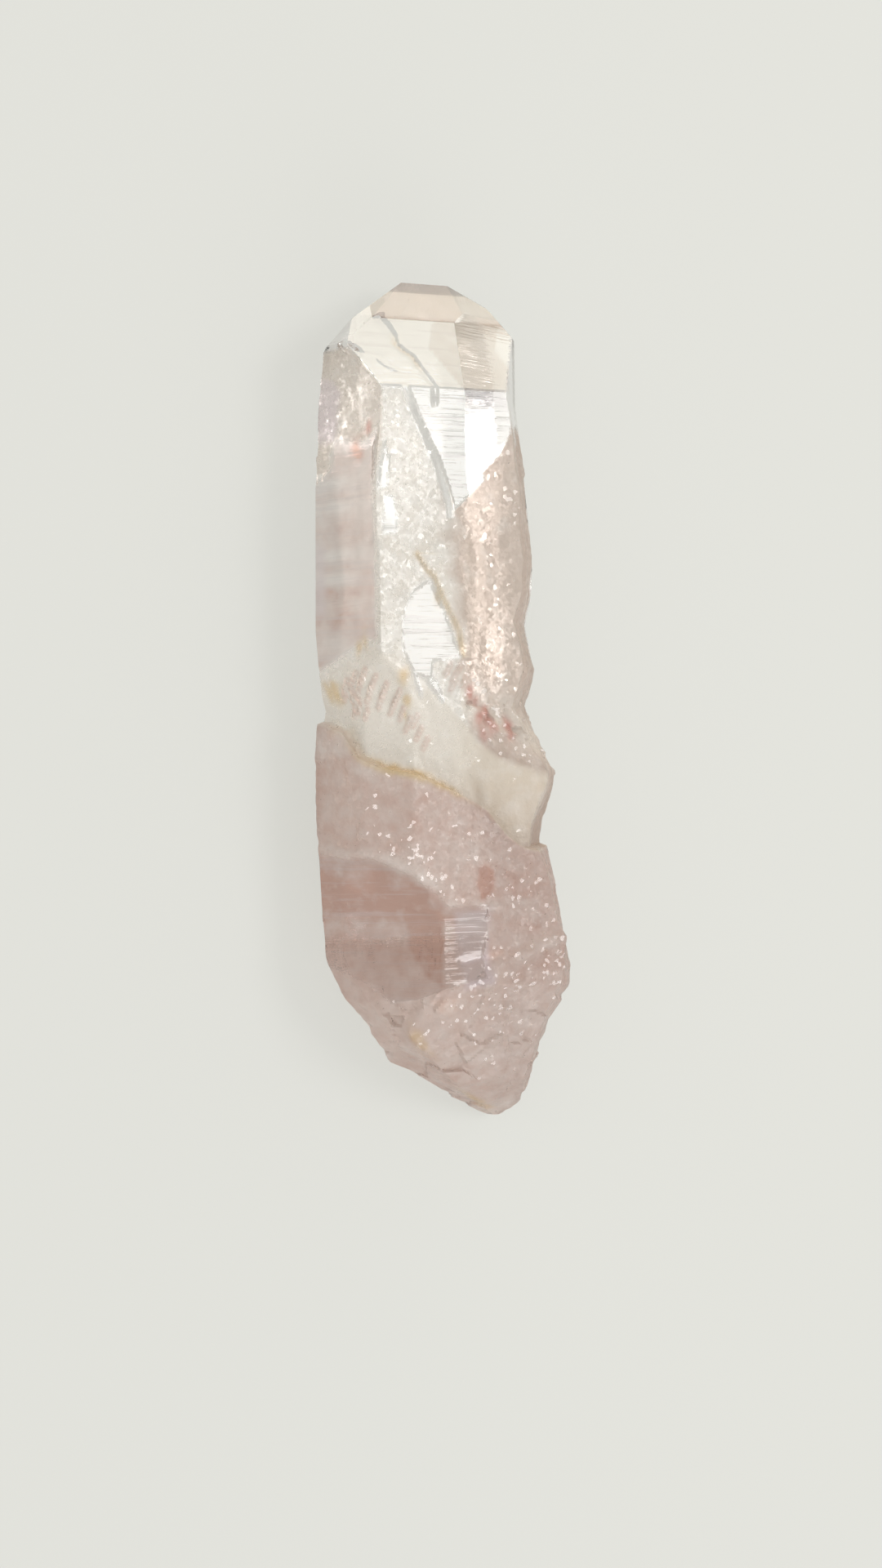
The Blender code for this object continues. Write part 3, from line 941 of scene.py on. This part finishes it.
        # Dark blots, one of them a painted shadow at the column's top.
        smoke_and_shade = smoke_and_shade + self.dark_blot_and_shadow * self.spots(m.dark_blots_and_shadow, at, ragged) * at.front
        # Painted shade on the lower facet above a ragged level line.
        share, foot_y, edge = self.upper_facet_shade
        smoke_and_shade = smoke_and_shade + share * facet * smooth((y - foot_y + self.border_raggedness * ragged) / edge)
        # Painted shade on the brown patch.
        share, edge = self.patch_shade
        smoke_and_shade = smoke_and_shade + share * at.within(m.brown_shade_patch, edge) * facet
        # Painted shade in a thin ring round each stroke on the slope.
        share, beside, width = self.stroke_shade
        away = np.array([line_distance(stroke, at.across, y) - beside for stroke in m.strokes()])
        smoke_and_shade = smoke_and_shade + share * np.exp(-(away / width) ** 2).max(axis=0)
        return np.where(at.front, np.clip(smoke_and_shade, 0.0, self.smoke_limit), self.back_smoke * ground["later"])

    def rosiness(self, at: Places, ground: dict[str, Array]) -> Array:
        """The rosy beige of the right side in upright streaks, the cap's painted shade and the pink corner.

        Args:
            at: the places.
            ground: the kinds of ground there.

        Returns:
            The rosiness.
        """
        streaks, size = self.rosy_streaks
        streaks = self.rosy + streaks * soft_noise(at.points * DRAWN_ALONG, size, 64)
        rosy = ground["right"] * (1.0 - ground["slope"]) * streaks
        rosy = rosy * (1.0 + self.broken_rosy * ground["broken"])
        # Painted shade on the cap's right band.
        share, edge = self.cap_shade_share
        rosy = rosy + np.where(at.front, share * at.within(self.marks.cap_shade, edge), 0.0)
        return np.clip(rosy + self.pink_rosy * ground["pink"], 0.0, self.rosy_limit)

    def sparkle(self, at: Places, ground: dict[str, Array], rough: Array) -> tuple[Array, Array]:
        """How much the chips lean, and the share of them that glint.

        Args:
            at: the places.
            ground: the kinds of ground there.
            rough: how rough the ground is.

        Returns:
            The lean, and the share of glinting chips, which is nothing on the hidden sides.
        """
        glitter = rough
        for name, share in self.glitter_factors:
            glitter = glitter * (1.0 + share * ground[name])
        glitter = glitter + self.broken_glitter * ground["broken"]
        glitter = glitter + self.hackly_glitter * ground["hackly"] * rough
        least, more, size = self.glint
        sparse = least + more * smooth(soft_noise(at.points, size, 63))
        glint = sparse * (1.0 + self.slope_glint * ground["slope"])
        glint = glint + self.broken_glint * ground["broken"] + self.hackly_glint * ground["hackly"]
        return np.clip(glitter, 0.0, 1.0), np.where(at.front, glint * rough * ground["level"], 0.0)

    def spots(self, spots: Spots, at: Places, ragged: Array) -> Array:
        """Soft blots, each a bell curve of the distance from its middle, with a ragged edge.

        Args:
            spots: the middle, the middle's y and the radius of each blot.
            at: the places.
            ragged: noise that frays the edges.

        Returns:
            The strongest blot at each place.
        """
        total = np.zeros(len(at.y))
        for middle, middle_y, radius in spots:
            beside, along = (at.across - middle) / self.spot_width, (at.y - middle_y) / self.spot_height
            distance = np.clip(np.hypot(beside, along) / radius + self.spot_raggedness * ragged, 0.0, None)
            total = np.maximum(total, np.exp(-distance ** 2))
        return total


@dataclass
class CrystalSurface:
    """The whole outside of the crystal as one closed mesh, with its relief and painted grounds."""

    form: PrismForm = field(default_factory=PrismForm)
    marks: Marks = field(default_factory=Marks)
    columns: tuple[int, ...] = (56, 38, 30, 28, 46, 28)
    row_pitch: float = 0.34
    row_clearance: float = 0.45
    tip_bluntness: float = 0.5
    apex_bluntness: float = 0.02
    seam_rows: tuple[float, float] = (-0.05, 0.3)
    sharp_angle: float = math.radians(32.0)
    level_rise: tuple[float, float] = (0.80, 0.12)
    merge_distance: float = 0.001
    seat: Vector = field(default_factory=Vector)

    def rows(self) -> Array:
        """The y of each row where it crosses the seam's middle, with rows on every shoulder.

        Returns:
            The rows' y, from the root to the apex.
        """
        start, end = self.form.tip_y + self.tip_bluntness, self.form.apex_y() - self.apex_bluntness
        plain = np.arange(start, end, self.row_pitch)
        seam_rows = tuple(self.marks.seam_middle + shift for shift in self.seam_rows)
        fixed = np.array(self.form.shoulders + seam_rows + (end,))
        far = np.abs(plain[:, None] - fixed[None, :]).min(axis=1) > self.row_clearance * self.row_pitch
        return np.unique(np.concatenate([plain[far], fixed]))

    def grid(self) -> tuple[Array, Array, Array]:
        """Points of the ideal form on a grid of rows along and columns round.

        A point is found by its row and by its share of the way along one side of the section. Rows
        near the seam slant with it. Each point is then read off the section at its own y, so that
        every flat face stays flat.

        Returns:
            The points, their distance across and the number of their side, all by row and column.
        """
        row_y = self.rows()
        order = [each.value for each in (Side.LOWER_LEFT, Side.UPPER_LEFT, Side.TOP, Side.UPPER_RIGHT,
                                         Side.LOWER_RIGHT, Side.BOTTOM)]
        side = np.concatenate([np.full(self.columns[k], k) for k in order])
        share = np.concatenate([np.arange(self.columns[k]) / self.columns[k] for k in order])
        first, last = self.form.sides(row_y)
        widths = np.linalg.norm(last - first, axis=-1)
        begin = {4: -widths[:, 4] - widths[:, 5], 5: -widths[:, 5], 0: 0.0 * widths[:, 0]}
        begin[1] = widths[:, 0]
        begin[2] = begin[1] + widths[:, 1]
        begin[3] = begin[2] + widths[:, 2]
        across = np.stack([begin[k] + s * widths[:, k] for k, s in zip(side, share)], axis=1)
        middle = self.marks.seam_middle
        nearness = smooth(1.0 - np.abs(row_y - middle) / self.marks.seam_reach)[:, None]
        slant = read_line(self.marks.seam, across) - middle
        along = row_y[:, None] + self.marks.seam_share(across) * slant * nearness
        first, last = self.form.sides(along)
        pick = np.broadcast_to(side[None, :, None, None], along.shape + (1, 2))
        start = np.take_along_axis(first, pick, axis=-2)[..., 0, :]
        end = np.take_along_axis(last, pick, axis=-2)[..., 0, :]
        flat = start + share[None, :, None] * (end - start)
        points = np.stack([flat[..., 0], along, flat[..., 1]], axis=-1)
        return self.form.cut_to_facet(points, across), across, np.broadcast_to(side, along.shape)

    def build(self) -> bpy.types.Object:
        """Make the closed mesh with its painted grounds, and keep where it is seated.

        Returns:
            The crystal's object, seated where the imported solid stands.
        """
        points, across, side = self.grid()
        at = Places(points.reshape(-1, 3), across.ravel(), side.ravel())
        grounds = Grounds(self.marks, self.form.shoulders)
        ground = grounds.read(at)
        height = Relief(self.marks, grounds.strip_width).height(at, ground)
        outward = at.points * np.array([1.0, 0.0, 1.0])
        outward /= np.linalg.norm(outward, axis=1, keepdims=True)
        moved = at.points + outward * height[:, None]
        moved[:, 2] = np.maximum(moved[:, 2], -self.form.axis_height)
        low, high = moved.min(axis=0), moved.max(axis=0)
        self.seat = Vector((-(low[0] + high[0]) / 2, -(low[1] + high[1]) / 2, self.form.axis_height))
        ground["level"] = self.upward_share(moved.reshape(points.shape)).ravel()
        mesh = self.weave((moved + np.array(self.seat)) * MM, across.shape)
        for name, values in Paint(self.marks, self.form.shoulders).layers(at, ground).items():
            layer = mesh.attributes.new(name, "FLOAT", "POINT")
            layer.data.foreach_set("value", values.astype(np.float32))
        crystal = bpy.data.objects.new("lemurian_crystal", mesh)
        bpy.context.scene.collection.objects.link(crystal)
        self.clean(mesh)
        return crystal

    def upward_share(self, points: Array) -> Array:
        """How much each point of the grid faces up: the z of its normal, softened.

        Args:
            points: the displaced points, by row and column.

        Returns:
            1 where the ground is nearly level and 0 where it is steep or faces down.
        """
        round_step = np.roll(points, -1, axis=1) - np.roll(points, 1, axis=1)
        normal = np.cross(round_step, np.gradient(points, axis=0))
        return step(normal[..., 2] / np.maximum(np.linalg.norm(normal, axis=-1), 1e-9), *self.level_rise)

    @staticmethod
    def weave(points: Array, shape: tuple[int, int]) -> bpy.types.Mesh:
        """Join the grid's points into four-sided faces, closed round and capped at both ends.

        Args:
            points: the points, row after row.
            shape: the number of rows and columns.

        Returns:
            The mesh.
        """
        rows, columns = shape
        index = np.arange(rows * columns).reshape(rows, columns)
        beside = np.roll(index, -1, axis=1)
        quads = np.stack([index[:-1], beside[:-1], beside[1:], index[1:]], axis=-1).reshape(-1, 4)
        faces = quads.tolist() + [index[0, ::-1].tolist(), index[-1].tolist()]
        mesh = bpy.data.meshes.new("lemurian_crystal")
        mesh.from_pydata(points.tolist(), [], faces)
        return mesh

    def clean(self, mesh: bpy.types.Mesh) -> None:
        """Merge points that coincide, point the faces out and keep edges sharp past the sharp angle.

        Args:
            mesh: the crystal's mesh.
        """
        body = bmesh.new()
        body.from_mesh(mesh)
        bmesh.ops.remove_doubles(body, verts=body.verts, dist=self.merge_distance * MM)
        bmesh.ops.dissolve_degenerate(body, dist=self.merge_distance * MM, edges=body.edges)
        bmesh.ops.recalc_face_normals(body, faces=body.faces)
        body.to_mesh(mesh)
        body.free()
        mesh.shade_smooth()
        mesh.set_sharp_from_angle(angle=self.sharp_angle)


def linear_colour(code: str) -> tuple[float, float, float, float]:
    """Turn an sRGB hex colour into linear light, by the sRGB curve.

    Args:
        code: six hex digits.

    Returns:
        Linear red, green, blue and a full alpha.
    """
    values = [int(code[i:i + 2], 16) / 255 for i in (0, 2, 4)]
    linear = [v / 12.92 if v <= 0.04045 else ((v + 0.055) / 1.055) ** 2.4 for v in values]
    return (*linear, 1.0)


def add_node(tree: Tree, kind: str, settings: dict | None = None, links: dict | None = None,
             **properties: object) -> bpy.types.Node:
    """Add one node with its settings and links.

    Args:
        tree: the node tree that takes the node.
        kind: the node's type name.
        settings: input values by socket name or number.
        links: output sockets to join, by the name or number of the input that they feed.
        properties: attributes of the node itself, such as its operation.

    Returns:
        The new node.
    """
    node = tree.nodes.new(kind)
    for name, value in properties.items():
        setattr(node, name, value)
    for name, value in (settings or {}).items():
        node.inputs[name].default_value = value
    for name, socket in (links or {}).items():
        tree.links.new(socket, node.inputs[name])
    return node


@dataclass(frozen=True)
class SmokyQuartz:
    """Natural smoky quartz: clear where the growth faces are whole, etched to a frost elsewhere.

    The body is see-through with a faint grey-beige smoke that deepens with the thickness of the
    stone. Fine growth lines cross the prism faces, and the frosted ground glitters.
    """

    ior: float = 1.544
    absorbing_colour: str = "E8D9CC"
    absorbing_density: float = 6.0
    clear_colour: str = "FFFFFF"
    milk_colour: str = "E3DBD1"
    smoke_and_shade_colour: str = "BF8E7E"
    rosy_colour: str = "C6B2A5"
    lilac_shade_colour: str = "DACBD2"
    tan_colour: str = "D2B078"
    red_colour: str = "B4685A"
    tint_strength: float = 0.9
    red_strength: float = 0.7
    milk_clearness: float = 0.4
    blotch_mm: float = 2.0
    blotch_base: float = 0.55
    clear_roughness: float = 0.015
    frost_roughness: float = 0.58
    frost_full: float = 0.6
    mottle_mm: float = 0.8
    line_spacing_mm: float = 0.9
    line_stretch: float = 0.04
    line_band: tuple[float, float] = (0.52, 0.62)
    line_shade_colour: str = "CFC3C6"
    line_shade: float = 0.35
    line_strength: float = 0.8
    line_depth_mm: float = 0.12
    grain_mm: float = 0.6
    grain_strength: float = 0.7
    grain_depth_mm: float = 0.14
    chip_mm: float = 0.48
    chip_tilt: float = 0.34
    glint_spread: float = 0.14
    glint_lean: float = 0.076
    glint_turn: float = -2.77
    glint_gloss: float = 0.7

    def build(self) -> bpy.types.Material:
        """Make the material's nodes.

        Returns:
            The finished material.
        """
        material = bpy.data.materials.new("smoky_quartz_etched")
        material.use_nodes = True
        tree = material.node_tree
        tree.nodes.clear()
        painted = {name: add_node(tree, "ShaderNodeAttribute", attribute_name=name).outputs["Fac"]
                   for name in LAYERS}
        place = add_node(tree, "ShaderNodeTexCoord").outputs["Object"]
        lines = self.growth_lines(tree, place)
        chips = add_node(tree, "ShaderNodeTexVoronoi", {"Scale": 1 / (self.chip_mm * MM)}, {"Vector": place})
        odds = add_node(tree, "ShaderNodeSeparateColor", links={"Color": chips.outputs["Color"]})
        needed = self.maths(tree, "SUBTRACT", 1.0, painted["glint"])
        glint = self.maths(tree, "GREATER_THAN", odds.outputs["Red"], needed)
        colour = self.colour(tree, painted, place, lines)
        roughness = self.roughness(tree, painted, place, glint)
        normal = self.bump(tree, painted, place, lines, chips.outputs["Color"], glint)
        clearness = add_node(tree, "ShaderNodeMapRange", {"To Min": 1.0, "To Max": self.milk_clearness},
                             {"Value": painted["milk"]}).outputs["Result"]
        shader = add_node(tree, "ShaderNodeBsdfPrincipled", {"IOR": self.ior, "Metallic": 0.0},
                          {"Base Color": colour, "Roughness": roughness, "Normal": normal,
                           "Transmission Weight": clearness})
        # The absorption deepens the warm smoke with the length of the way through the stone.
        absorb = add_node(tree, "ShaderNodeVolumeAbsorption",
                          {"Color": linear_colour(self.absorbing_colour), "Density": self.absorbing_density})
        add_node(tree, "ShaderNodeOutputMaterial",
                 links={"Surface": shader.outputs["BSDF"], "Volume": absorb.outputs["Volume"]})
        return material

    @staticmethod
    def maths(tree: Tree, operation: str, *values: float | Socket, clamp: bool = False) -> Socket:
        """Add one calculation with numbers and sockets.

        Args:
            tree: the node tree.
            operation: what is done with the values.
            values: the numbers and sockets, in the order of the node's inputs.
            clamp: whether the result is kept from 0 to 1.

        Returns:
            The result's socket.
        """
        numbers = {i: v for i, v in enumerate(values) if isinstance(v, float)}
        sockets = {i: v for i, v in enumerate(values) if not isinstance(v, float)}
        node = add_node(tree, "ShaderNodeMath", numbers, sockets, operation=operation, use_clamp=clamp)
        return node.outputs[0]

    @staticmethod
    def tint(tree: Tree, under: Socket, code: str, amount: Socket) -> Socket:
        """Lay one even colour over another by an amount.

        Args:
            tree: the node tree.
            under: the colour below.
            code: the colour above, in hex.
            amount: how much of it there is.

        Returns:
            The blended colour's socket.
        """
        mix = add_node(tree, "ShaderNodeMix", {COLOUR_B: linear_colour(code)},
                       {FACTOR: amount, COLOUR_A: under}, data_type="RGBA")
        return mix.outputs[COLOUR_RESULT]

    def colour(self, tree: Tree, painted: Layers, place: Socket, lines: Socket) -> Socket:
        """Clear stone, milky on the frost, smoky and rosy in places, with mineral stains, painted shade,
        highlights and reflection.

        Args:
            tree: the node tree.
            painted: the painted layers.
            place: the place in the stone.
            lines: the growth lines.

        Returns:
            The colour's socket.
        """
        blotch = add_node(tree, "ShaderNodeTexNoise", {"Scale": 1 / (self.blotch_mm * MM), "Detail": 4.0},
                          {"Vector": place}).outputs["Fac"]
        ragged = self.maths(tree, "ADD", blotch, self.blotch_base)
        socket = add_node(tree, "ShaderNodeRGB").outputs[0]
        socket.default_value = linear_colour(self.clear_colour)
        # One noise blotches every tint, so that no stain or haze looks even.
        for name, code, strength in (
                ("milk", self.milk_colour, 1.0),
                # The smoke tint also lays on painted shade and a painted highlight.
                ("smoke_and_shade", self.smoke_and_shade_colour, self.tint_strength),
                # The rosy tint also lays on the cap's painted shade.
                ("rosy", self.rosy_colour, self.tint_strength),
                # The lilac tint is painted shade and reflection.
                ("lilac_shade", self.lilac_shade_colour, self.tint_strength),
                ("tan", self.tan_colour, self.tint_strength),
                ("red", self.red_colour, self.red_strength)):
            amount = self.maths(tree, "MULTIPLY", painted[name], ragged)
            socket = self.tint(tree, socket, code, self.maths(tree, "MULTIPLY", amount, strength, clamp=True))
        # The growth lines are also painted darker in a pinkish grey: painted shade along the lines.
        low, high = self.line_band
        edge = add_node(tree, "ShaderNodeMapRange",
                        {"From Min": low, "From Max": high, "To Max": self.line_shade},
                        {"Value": lines}).outputs["Result"]
        shade = self.maths(tree, "MULTIPLY", edge, painted["ladder"])
        return self.tint(tree, socket, self.line_shade_colour, shade)

    def growth_lines(self, tree: Tree, place: Socket) -> Socket:
        """Noise that is drawn out across the crystal, so that it makes level lines.

        The real lines are finer. They are drawn coarser, so that they stay visible.

        Args:
            tree: the node tree.
            place: the place in the stone.

        Returns:
            The lines' socket.
        """
        stretched = add_node(tree, "ShaderNodeMapping",
                             {"Scale": (self.line_stretch, 1.0, self.line_stretch)},
                             {"Vector": place}).outputs["Vector"]
        lines = add_node(tree, "ShaderNodeTexNoise",
                         {"Scale": 1 / (self.line_spacing_mm * MM), "Detail": 3.0, "Roughness": 0.7},
                         {"Vector": stretched})
        return lines.outputs["Fac"]

    def roughness(self, tree: Tree, painted: Layers, place: Socket, glint: Socket) -> Socket:
        """Polished on whole faces, frosted on etched ground with a finer mottle, glossy on glints.

        Args:
            tree: the node tree.
            painted: the painted layers.
            place: the place in the stone.
            glint: 1 on a glinting chip.

        Returns:
            The roughness's socket.
        """
        mottle = add_node(tree, "ShaderNodeTexNoise", {"Scale": 1 / (self.mottle_mm * MM), "Detail": 3.0},
                          {"Vector": place}).outputs["Fac"]
        spread = add_node(tree, "ShaderNodeMapRange",
                          {"From Max": self.frost_full, "To Min": self.clear_roughness,
                           "To Max": self.frost_roughness},
                          {"Value": self.maths(tree, "MULTIPLY", mottle, painted["frost"])}).outputs["Result"]
        dulled = self.maths(tree, "MULTIPLY_ADD", glint, -self.glint_gloss, 1.0)
        return self.maths(tree, "MULTIPLY", spread, dulled)

    def bump(self, tree: Tree, painted: Layers, place: Socket, lines: Socket, chip_colour: Socket,
             glint: Socket) -> Socket:
        """Growth lines across the prism faces, a fine grain on the frost, and glittering chips.

        Args:
            tree: the node tree.
            painted: the painted layers.
            place: the place in the stone.
            lines: the growth lines.
            chip_colour: three random numbers for each chip.
            glint: 1 on a glinting chip.

        Returns:
            The normal's socket.
        """
        drawn = self.maths(tree, "MULTIPLY", lines, painted["ladder"])
        ladder = add_node(tree, "ShaderNodeBump",
                          {"Strength": self.line_strength, "Distance": self.line_depth_mm * MM},
                          {"Height": drawn}).outputs["Normal"]
        grain = add_node(tree, "ShaderNodeTexNoise", {"Scale": 1 / (self.grain_mm * MM), "Detail": 2.5},
                         {"Vector": place}).outputs["Fac"]
        etched = self.maths(tree, "MULTIPLY", grain, painted["frost"])
        fine = add_node(tree, "ShaderNodeBump",
                        {"Strength": self.grain_strength, "Distance": self.grain_depth_mm * MM},
                        {"Height": etched, "Normal": ladder}).outputs["Normal"]
        centred = self.vectors(tree, "SUBTRACT", chip_colour, (0.5, 0.5, 0.5))
        amount = self.maths(tree, "MULTIPLY", painted["glitter"], self.chip_tilt)
        lean = add_node(tree, "ShaderNodeVectorMath", links={0: centred, "Scale": amount}, operation="SCALE")
        leaning = self.vectors(tree, "ADD", fine, lean.outputs[0])
        # Glinting chips are steps of the lattice, so that they all lie level with the top prism face.
        spread = add_node(tree, "ShaderNodeVectorMath", {"Scale": self.glint_spread}, {0: centred},
                          operation="SCALE").outputs[0]
        along = add_node(tree, "ShaderNodeSeparateXYZ", links={0: place}).outputs["Y"]
        tipped = self.maths(tree, "MULTIPLY_ADD", along, self.glint_turn, self.glint_lean)
        upward = add_node(tree, "ShaderNodeCombineXYZ", {"Z": 1.0}, {"Y": tipped}).outputs[0]
        level = self.vectors(tree, "ADD", spread, upward)
        total = add_node(tree, "ShaderNodeMix", links={FACTOR: glint, VECTOR_A: leaning, VECTOR_B: level},
                         data_type="VECTOR").outputs[VECTOR_RESULT]
        return add_node(tree, "ShaderNodeVectorMath", links={0: total}, operation="NORMALIZE").outputs[0]

    @staticmethod
    def vectors(tree: Tree, operation: str, first: Socket, second: Socket | Point) -> Socket:
        """Add one calculation with two vectors.

        Args:
            tree: the node tree.
            operation: what is done with them.
            first: the first vector's socket.
            second: the second vector, as a socket or as three numbers.

        Returns:
            The result's socket.
        """
        if isinstance(second, tuple):
            node = add_node(tree, "ShaderNodeVectorMath", {1: second}, {0: first}, operation=operation)
        else:
            node = add_node(tree, "ShaderNodeVectorMath", links={0: first, 1: second}, operation=operation)
        return node.outputs[0]


@dataclass(frozen=True)
class StudioCamera:
    """A portrait camera that sees the crystal from the photograph's side of straight down.

    The picture's right, its up and the way back to the lens are turned from the crystal's own axes
    by a lean to the left, a slight nod and a slight roll.
    """

    target: Point = (3.28, -1.51, -5.0)
    distance: float = 287.2
    half_height: float = 110.73
    lean: float = math.radians(21.31)
    nod: float = math.radians(-0.15)
    roll: float = math.radians(-1.09)
    sensor: float = 36.0
    clip: tuple[float, float] = (10.0, 20000.0)

    def build(self, seat: Vector) -> bpy.types.Object:
        """Place the camera and make it the scene's own.

        Args:
            seat: how far the crystal was shifted to its seat.

        Returns:
            The camera's object.
        """
        west = Vector((-math.sin(self.lean), 0.0, math.cos(self.lean)))
        east = Vector((math.cos(self.lean), 0.0, math.sin(self.lean)))
        north = Vector((0.0, 1.0, 0.0))
        back = math.cos(self.nod) * west - math.sin(self.nod) * north
        up = math.cos(self.nod) * north + math.sin(self.nod) * west
        right = math.cos(self.roll) * east + math.sin(self.roll) * up
        upright = math.cos(self.roll) * up - math.sin(self.roll) * east
        place = (Vector(self.target) + seat + back * self.distance) * MM
        turn = Matrix((right, upright, back)).transposed().to_4x4()
        data = bpy.data.cameras.new("studio_camera")
        data.sensor_width = self.sensor
        data.lens = self.distance * self.sensor / (2.0 * self.half_height)
        data.clip_start, data.clip_end = self.clip[0] * MM, self.clip[1] * MM
        camera = bpy.data.objects.new("studio_camera", data)
        camera.matrix_world = Matrix.Translation(place) @ turn
        bpy.context.scene.collection.objects.link(camera)
        bpy.context.scene.camera = camera
        return camera


@dataclass(frozen=True)
class OpalLightTable:
    """A matt opal floor that glows a little, so that the clear stone has something bright behind it."""

    size: float = 16000.0
    drop: float = 0.01
    colour: str = "7A7A78"
    glow_colour: str = "F3F3EC"
    glow: float = 0.60

    def build(self) -> None:
        """Make the flat floor just under the crystal, with its finish."""
        half, low = self.size * MM / 2, -self.drop * MM
        mesh = bpy.data.meshes.new("studio_floor")
        corners = [(-half, -half, low), (half, -half, low), (half, half, low), (-half, half, low)]
        mesh.from_pydata(corners, [], [(0, 1, 2, 3)])
        floor = bpy.data.objects.new("studio_floor", mesh)
        bpy.context.scene.collection.objects.link(floor)
        material = bpy.data.materials.new("opal_light_table")
        material.use_nodes = True
        shader = material.node_tree.nodes["Principled BSDF"]
        # The glow stands in for the bright background, and the matt finish mirrors none of the lights.
        for name, value in (("Emission Color", linear_colour(self.glow_colour)),
                            ("Emission Strength", self.glow),
                            ("Base Color", linear_colour(self.colour)),
                            ("Roughness", 1.0),
                            ("Specular IOR Level", 0.0)):
            shader.inputs[name].default_value = value
        mesh.materials.append(material)


@dataclass(frozen=True)
class SoftLight:
    """An oblong soft light that faces the middle of the crystal."""

    name: str
    place: Point
    size: tuple[float, float]
    power: float
    colour: str = "FFFFFF"

    def build(self) -> None:
        """Make the light and hang it in its place."""
        data = bpy.data.lights.new(self.name, "AREA")
        data.shape = "RECTANGLE"
        data.size, data.size_y = self.size[0] * MM, self.size[1] * MM
        data.energy = self.power
        data.color = linear_colour(self.colour)[:3]
        lamp = bpy.data.objects.new(self.name, data)
        lamp.location = Vector(self.place) * MM
        lamp.rotation_euler = (-lamp.location).to_track_quat("-Z", "Y").to_euler()
        bpy.context.scene.collection.objects.link(lamp)


@dataclass(frozen=True)
class Studio:
    """A glowing floor, a soft even sky and four soft lights.

    The key light is mirrored by the window, the fin and the glints. The warm back light is
    mirrored by the cap, and the front light brightens the slope and the root.
    """

    floor: OpalLightTable = OpalLightTable()
    sky_colour: str = "F1F2EE"
    sky_strength: float = 0.80
    lights: tuple[SoftLight, ...] = (
        SoftLight("key_light", (250.0, 88.0, 560.0), (240.0, 230.0), 1.2),
        SoftLight("fill_light", (-420.0, 260.0, 460.0), (500.0, 500.0), 0.3),
        SoftLight("back_light", (220.0, 640.0, 112.0), (700.0, 230.0), 1.7, "FFF3DC"),
        SoftLight("front_light", (120.0, -700.0, 330.0), (600.0, 300.0), 2.0))
    light_bounces: int = 24
    clear_bounces: int = 12
    firefly_limit: float = 6.0

    def build(self) -> None:
        """Make the floor, the sky and the lights, and let light through the stone often enough."""
        self.floor.build()
        world = bpy.data.worlds.new("soft_sky")
        world.use_nodes = True
        sky = world.node_tree.nodes["Background"]
        sky.inputs["Color"].default_value = linear_colour(self.sky_colour)
        sky.inputs["Strength"].default_value = self.sky_strength
        scene = bpy.context.scene
        scene.world = world
        for light in self.lights:
            light.build()
        scene.view_settings.view_transform = "Standard"
        scene.cycles.max_bounces = self.light_bounces
        scene.cycles.transmission_bounces = self.light_bounces
        scene.cycles.transparent_max_bounces = self.clear_bounces
        scene.cycles.sample_clamp_indirect = self.firefly_limit
        scene.cycles.use_denoising = True


def main() -> None:
    """Build the crystal, its finish, the studio and the camera in order, and report each."""
    logging.basicConfig(level=logging.INFO, format="%(name)s: %(message)s")
    surface = CrystalSurface()
    crystal = surface.build()
    crystal.data.materials.append(SmokyQuartz().build())
    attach(crystal, "root")
    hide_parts(NODE)
    log.info("crystal surface: %d faces", len(crystal.data.polygons))
    studio = Studio()
    studio.build()
    log.info("studio: %d lights over a floor of %.0f mm", len(studio.lights), studio.floor.size)
    camera = StudioCamera().build(surface.seat)
    log.info("camera at %s", tuple(round(v, 4) for v in camera.matrix_world.translation))


if __name__ == "__main__":
    main()
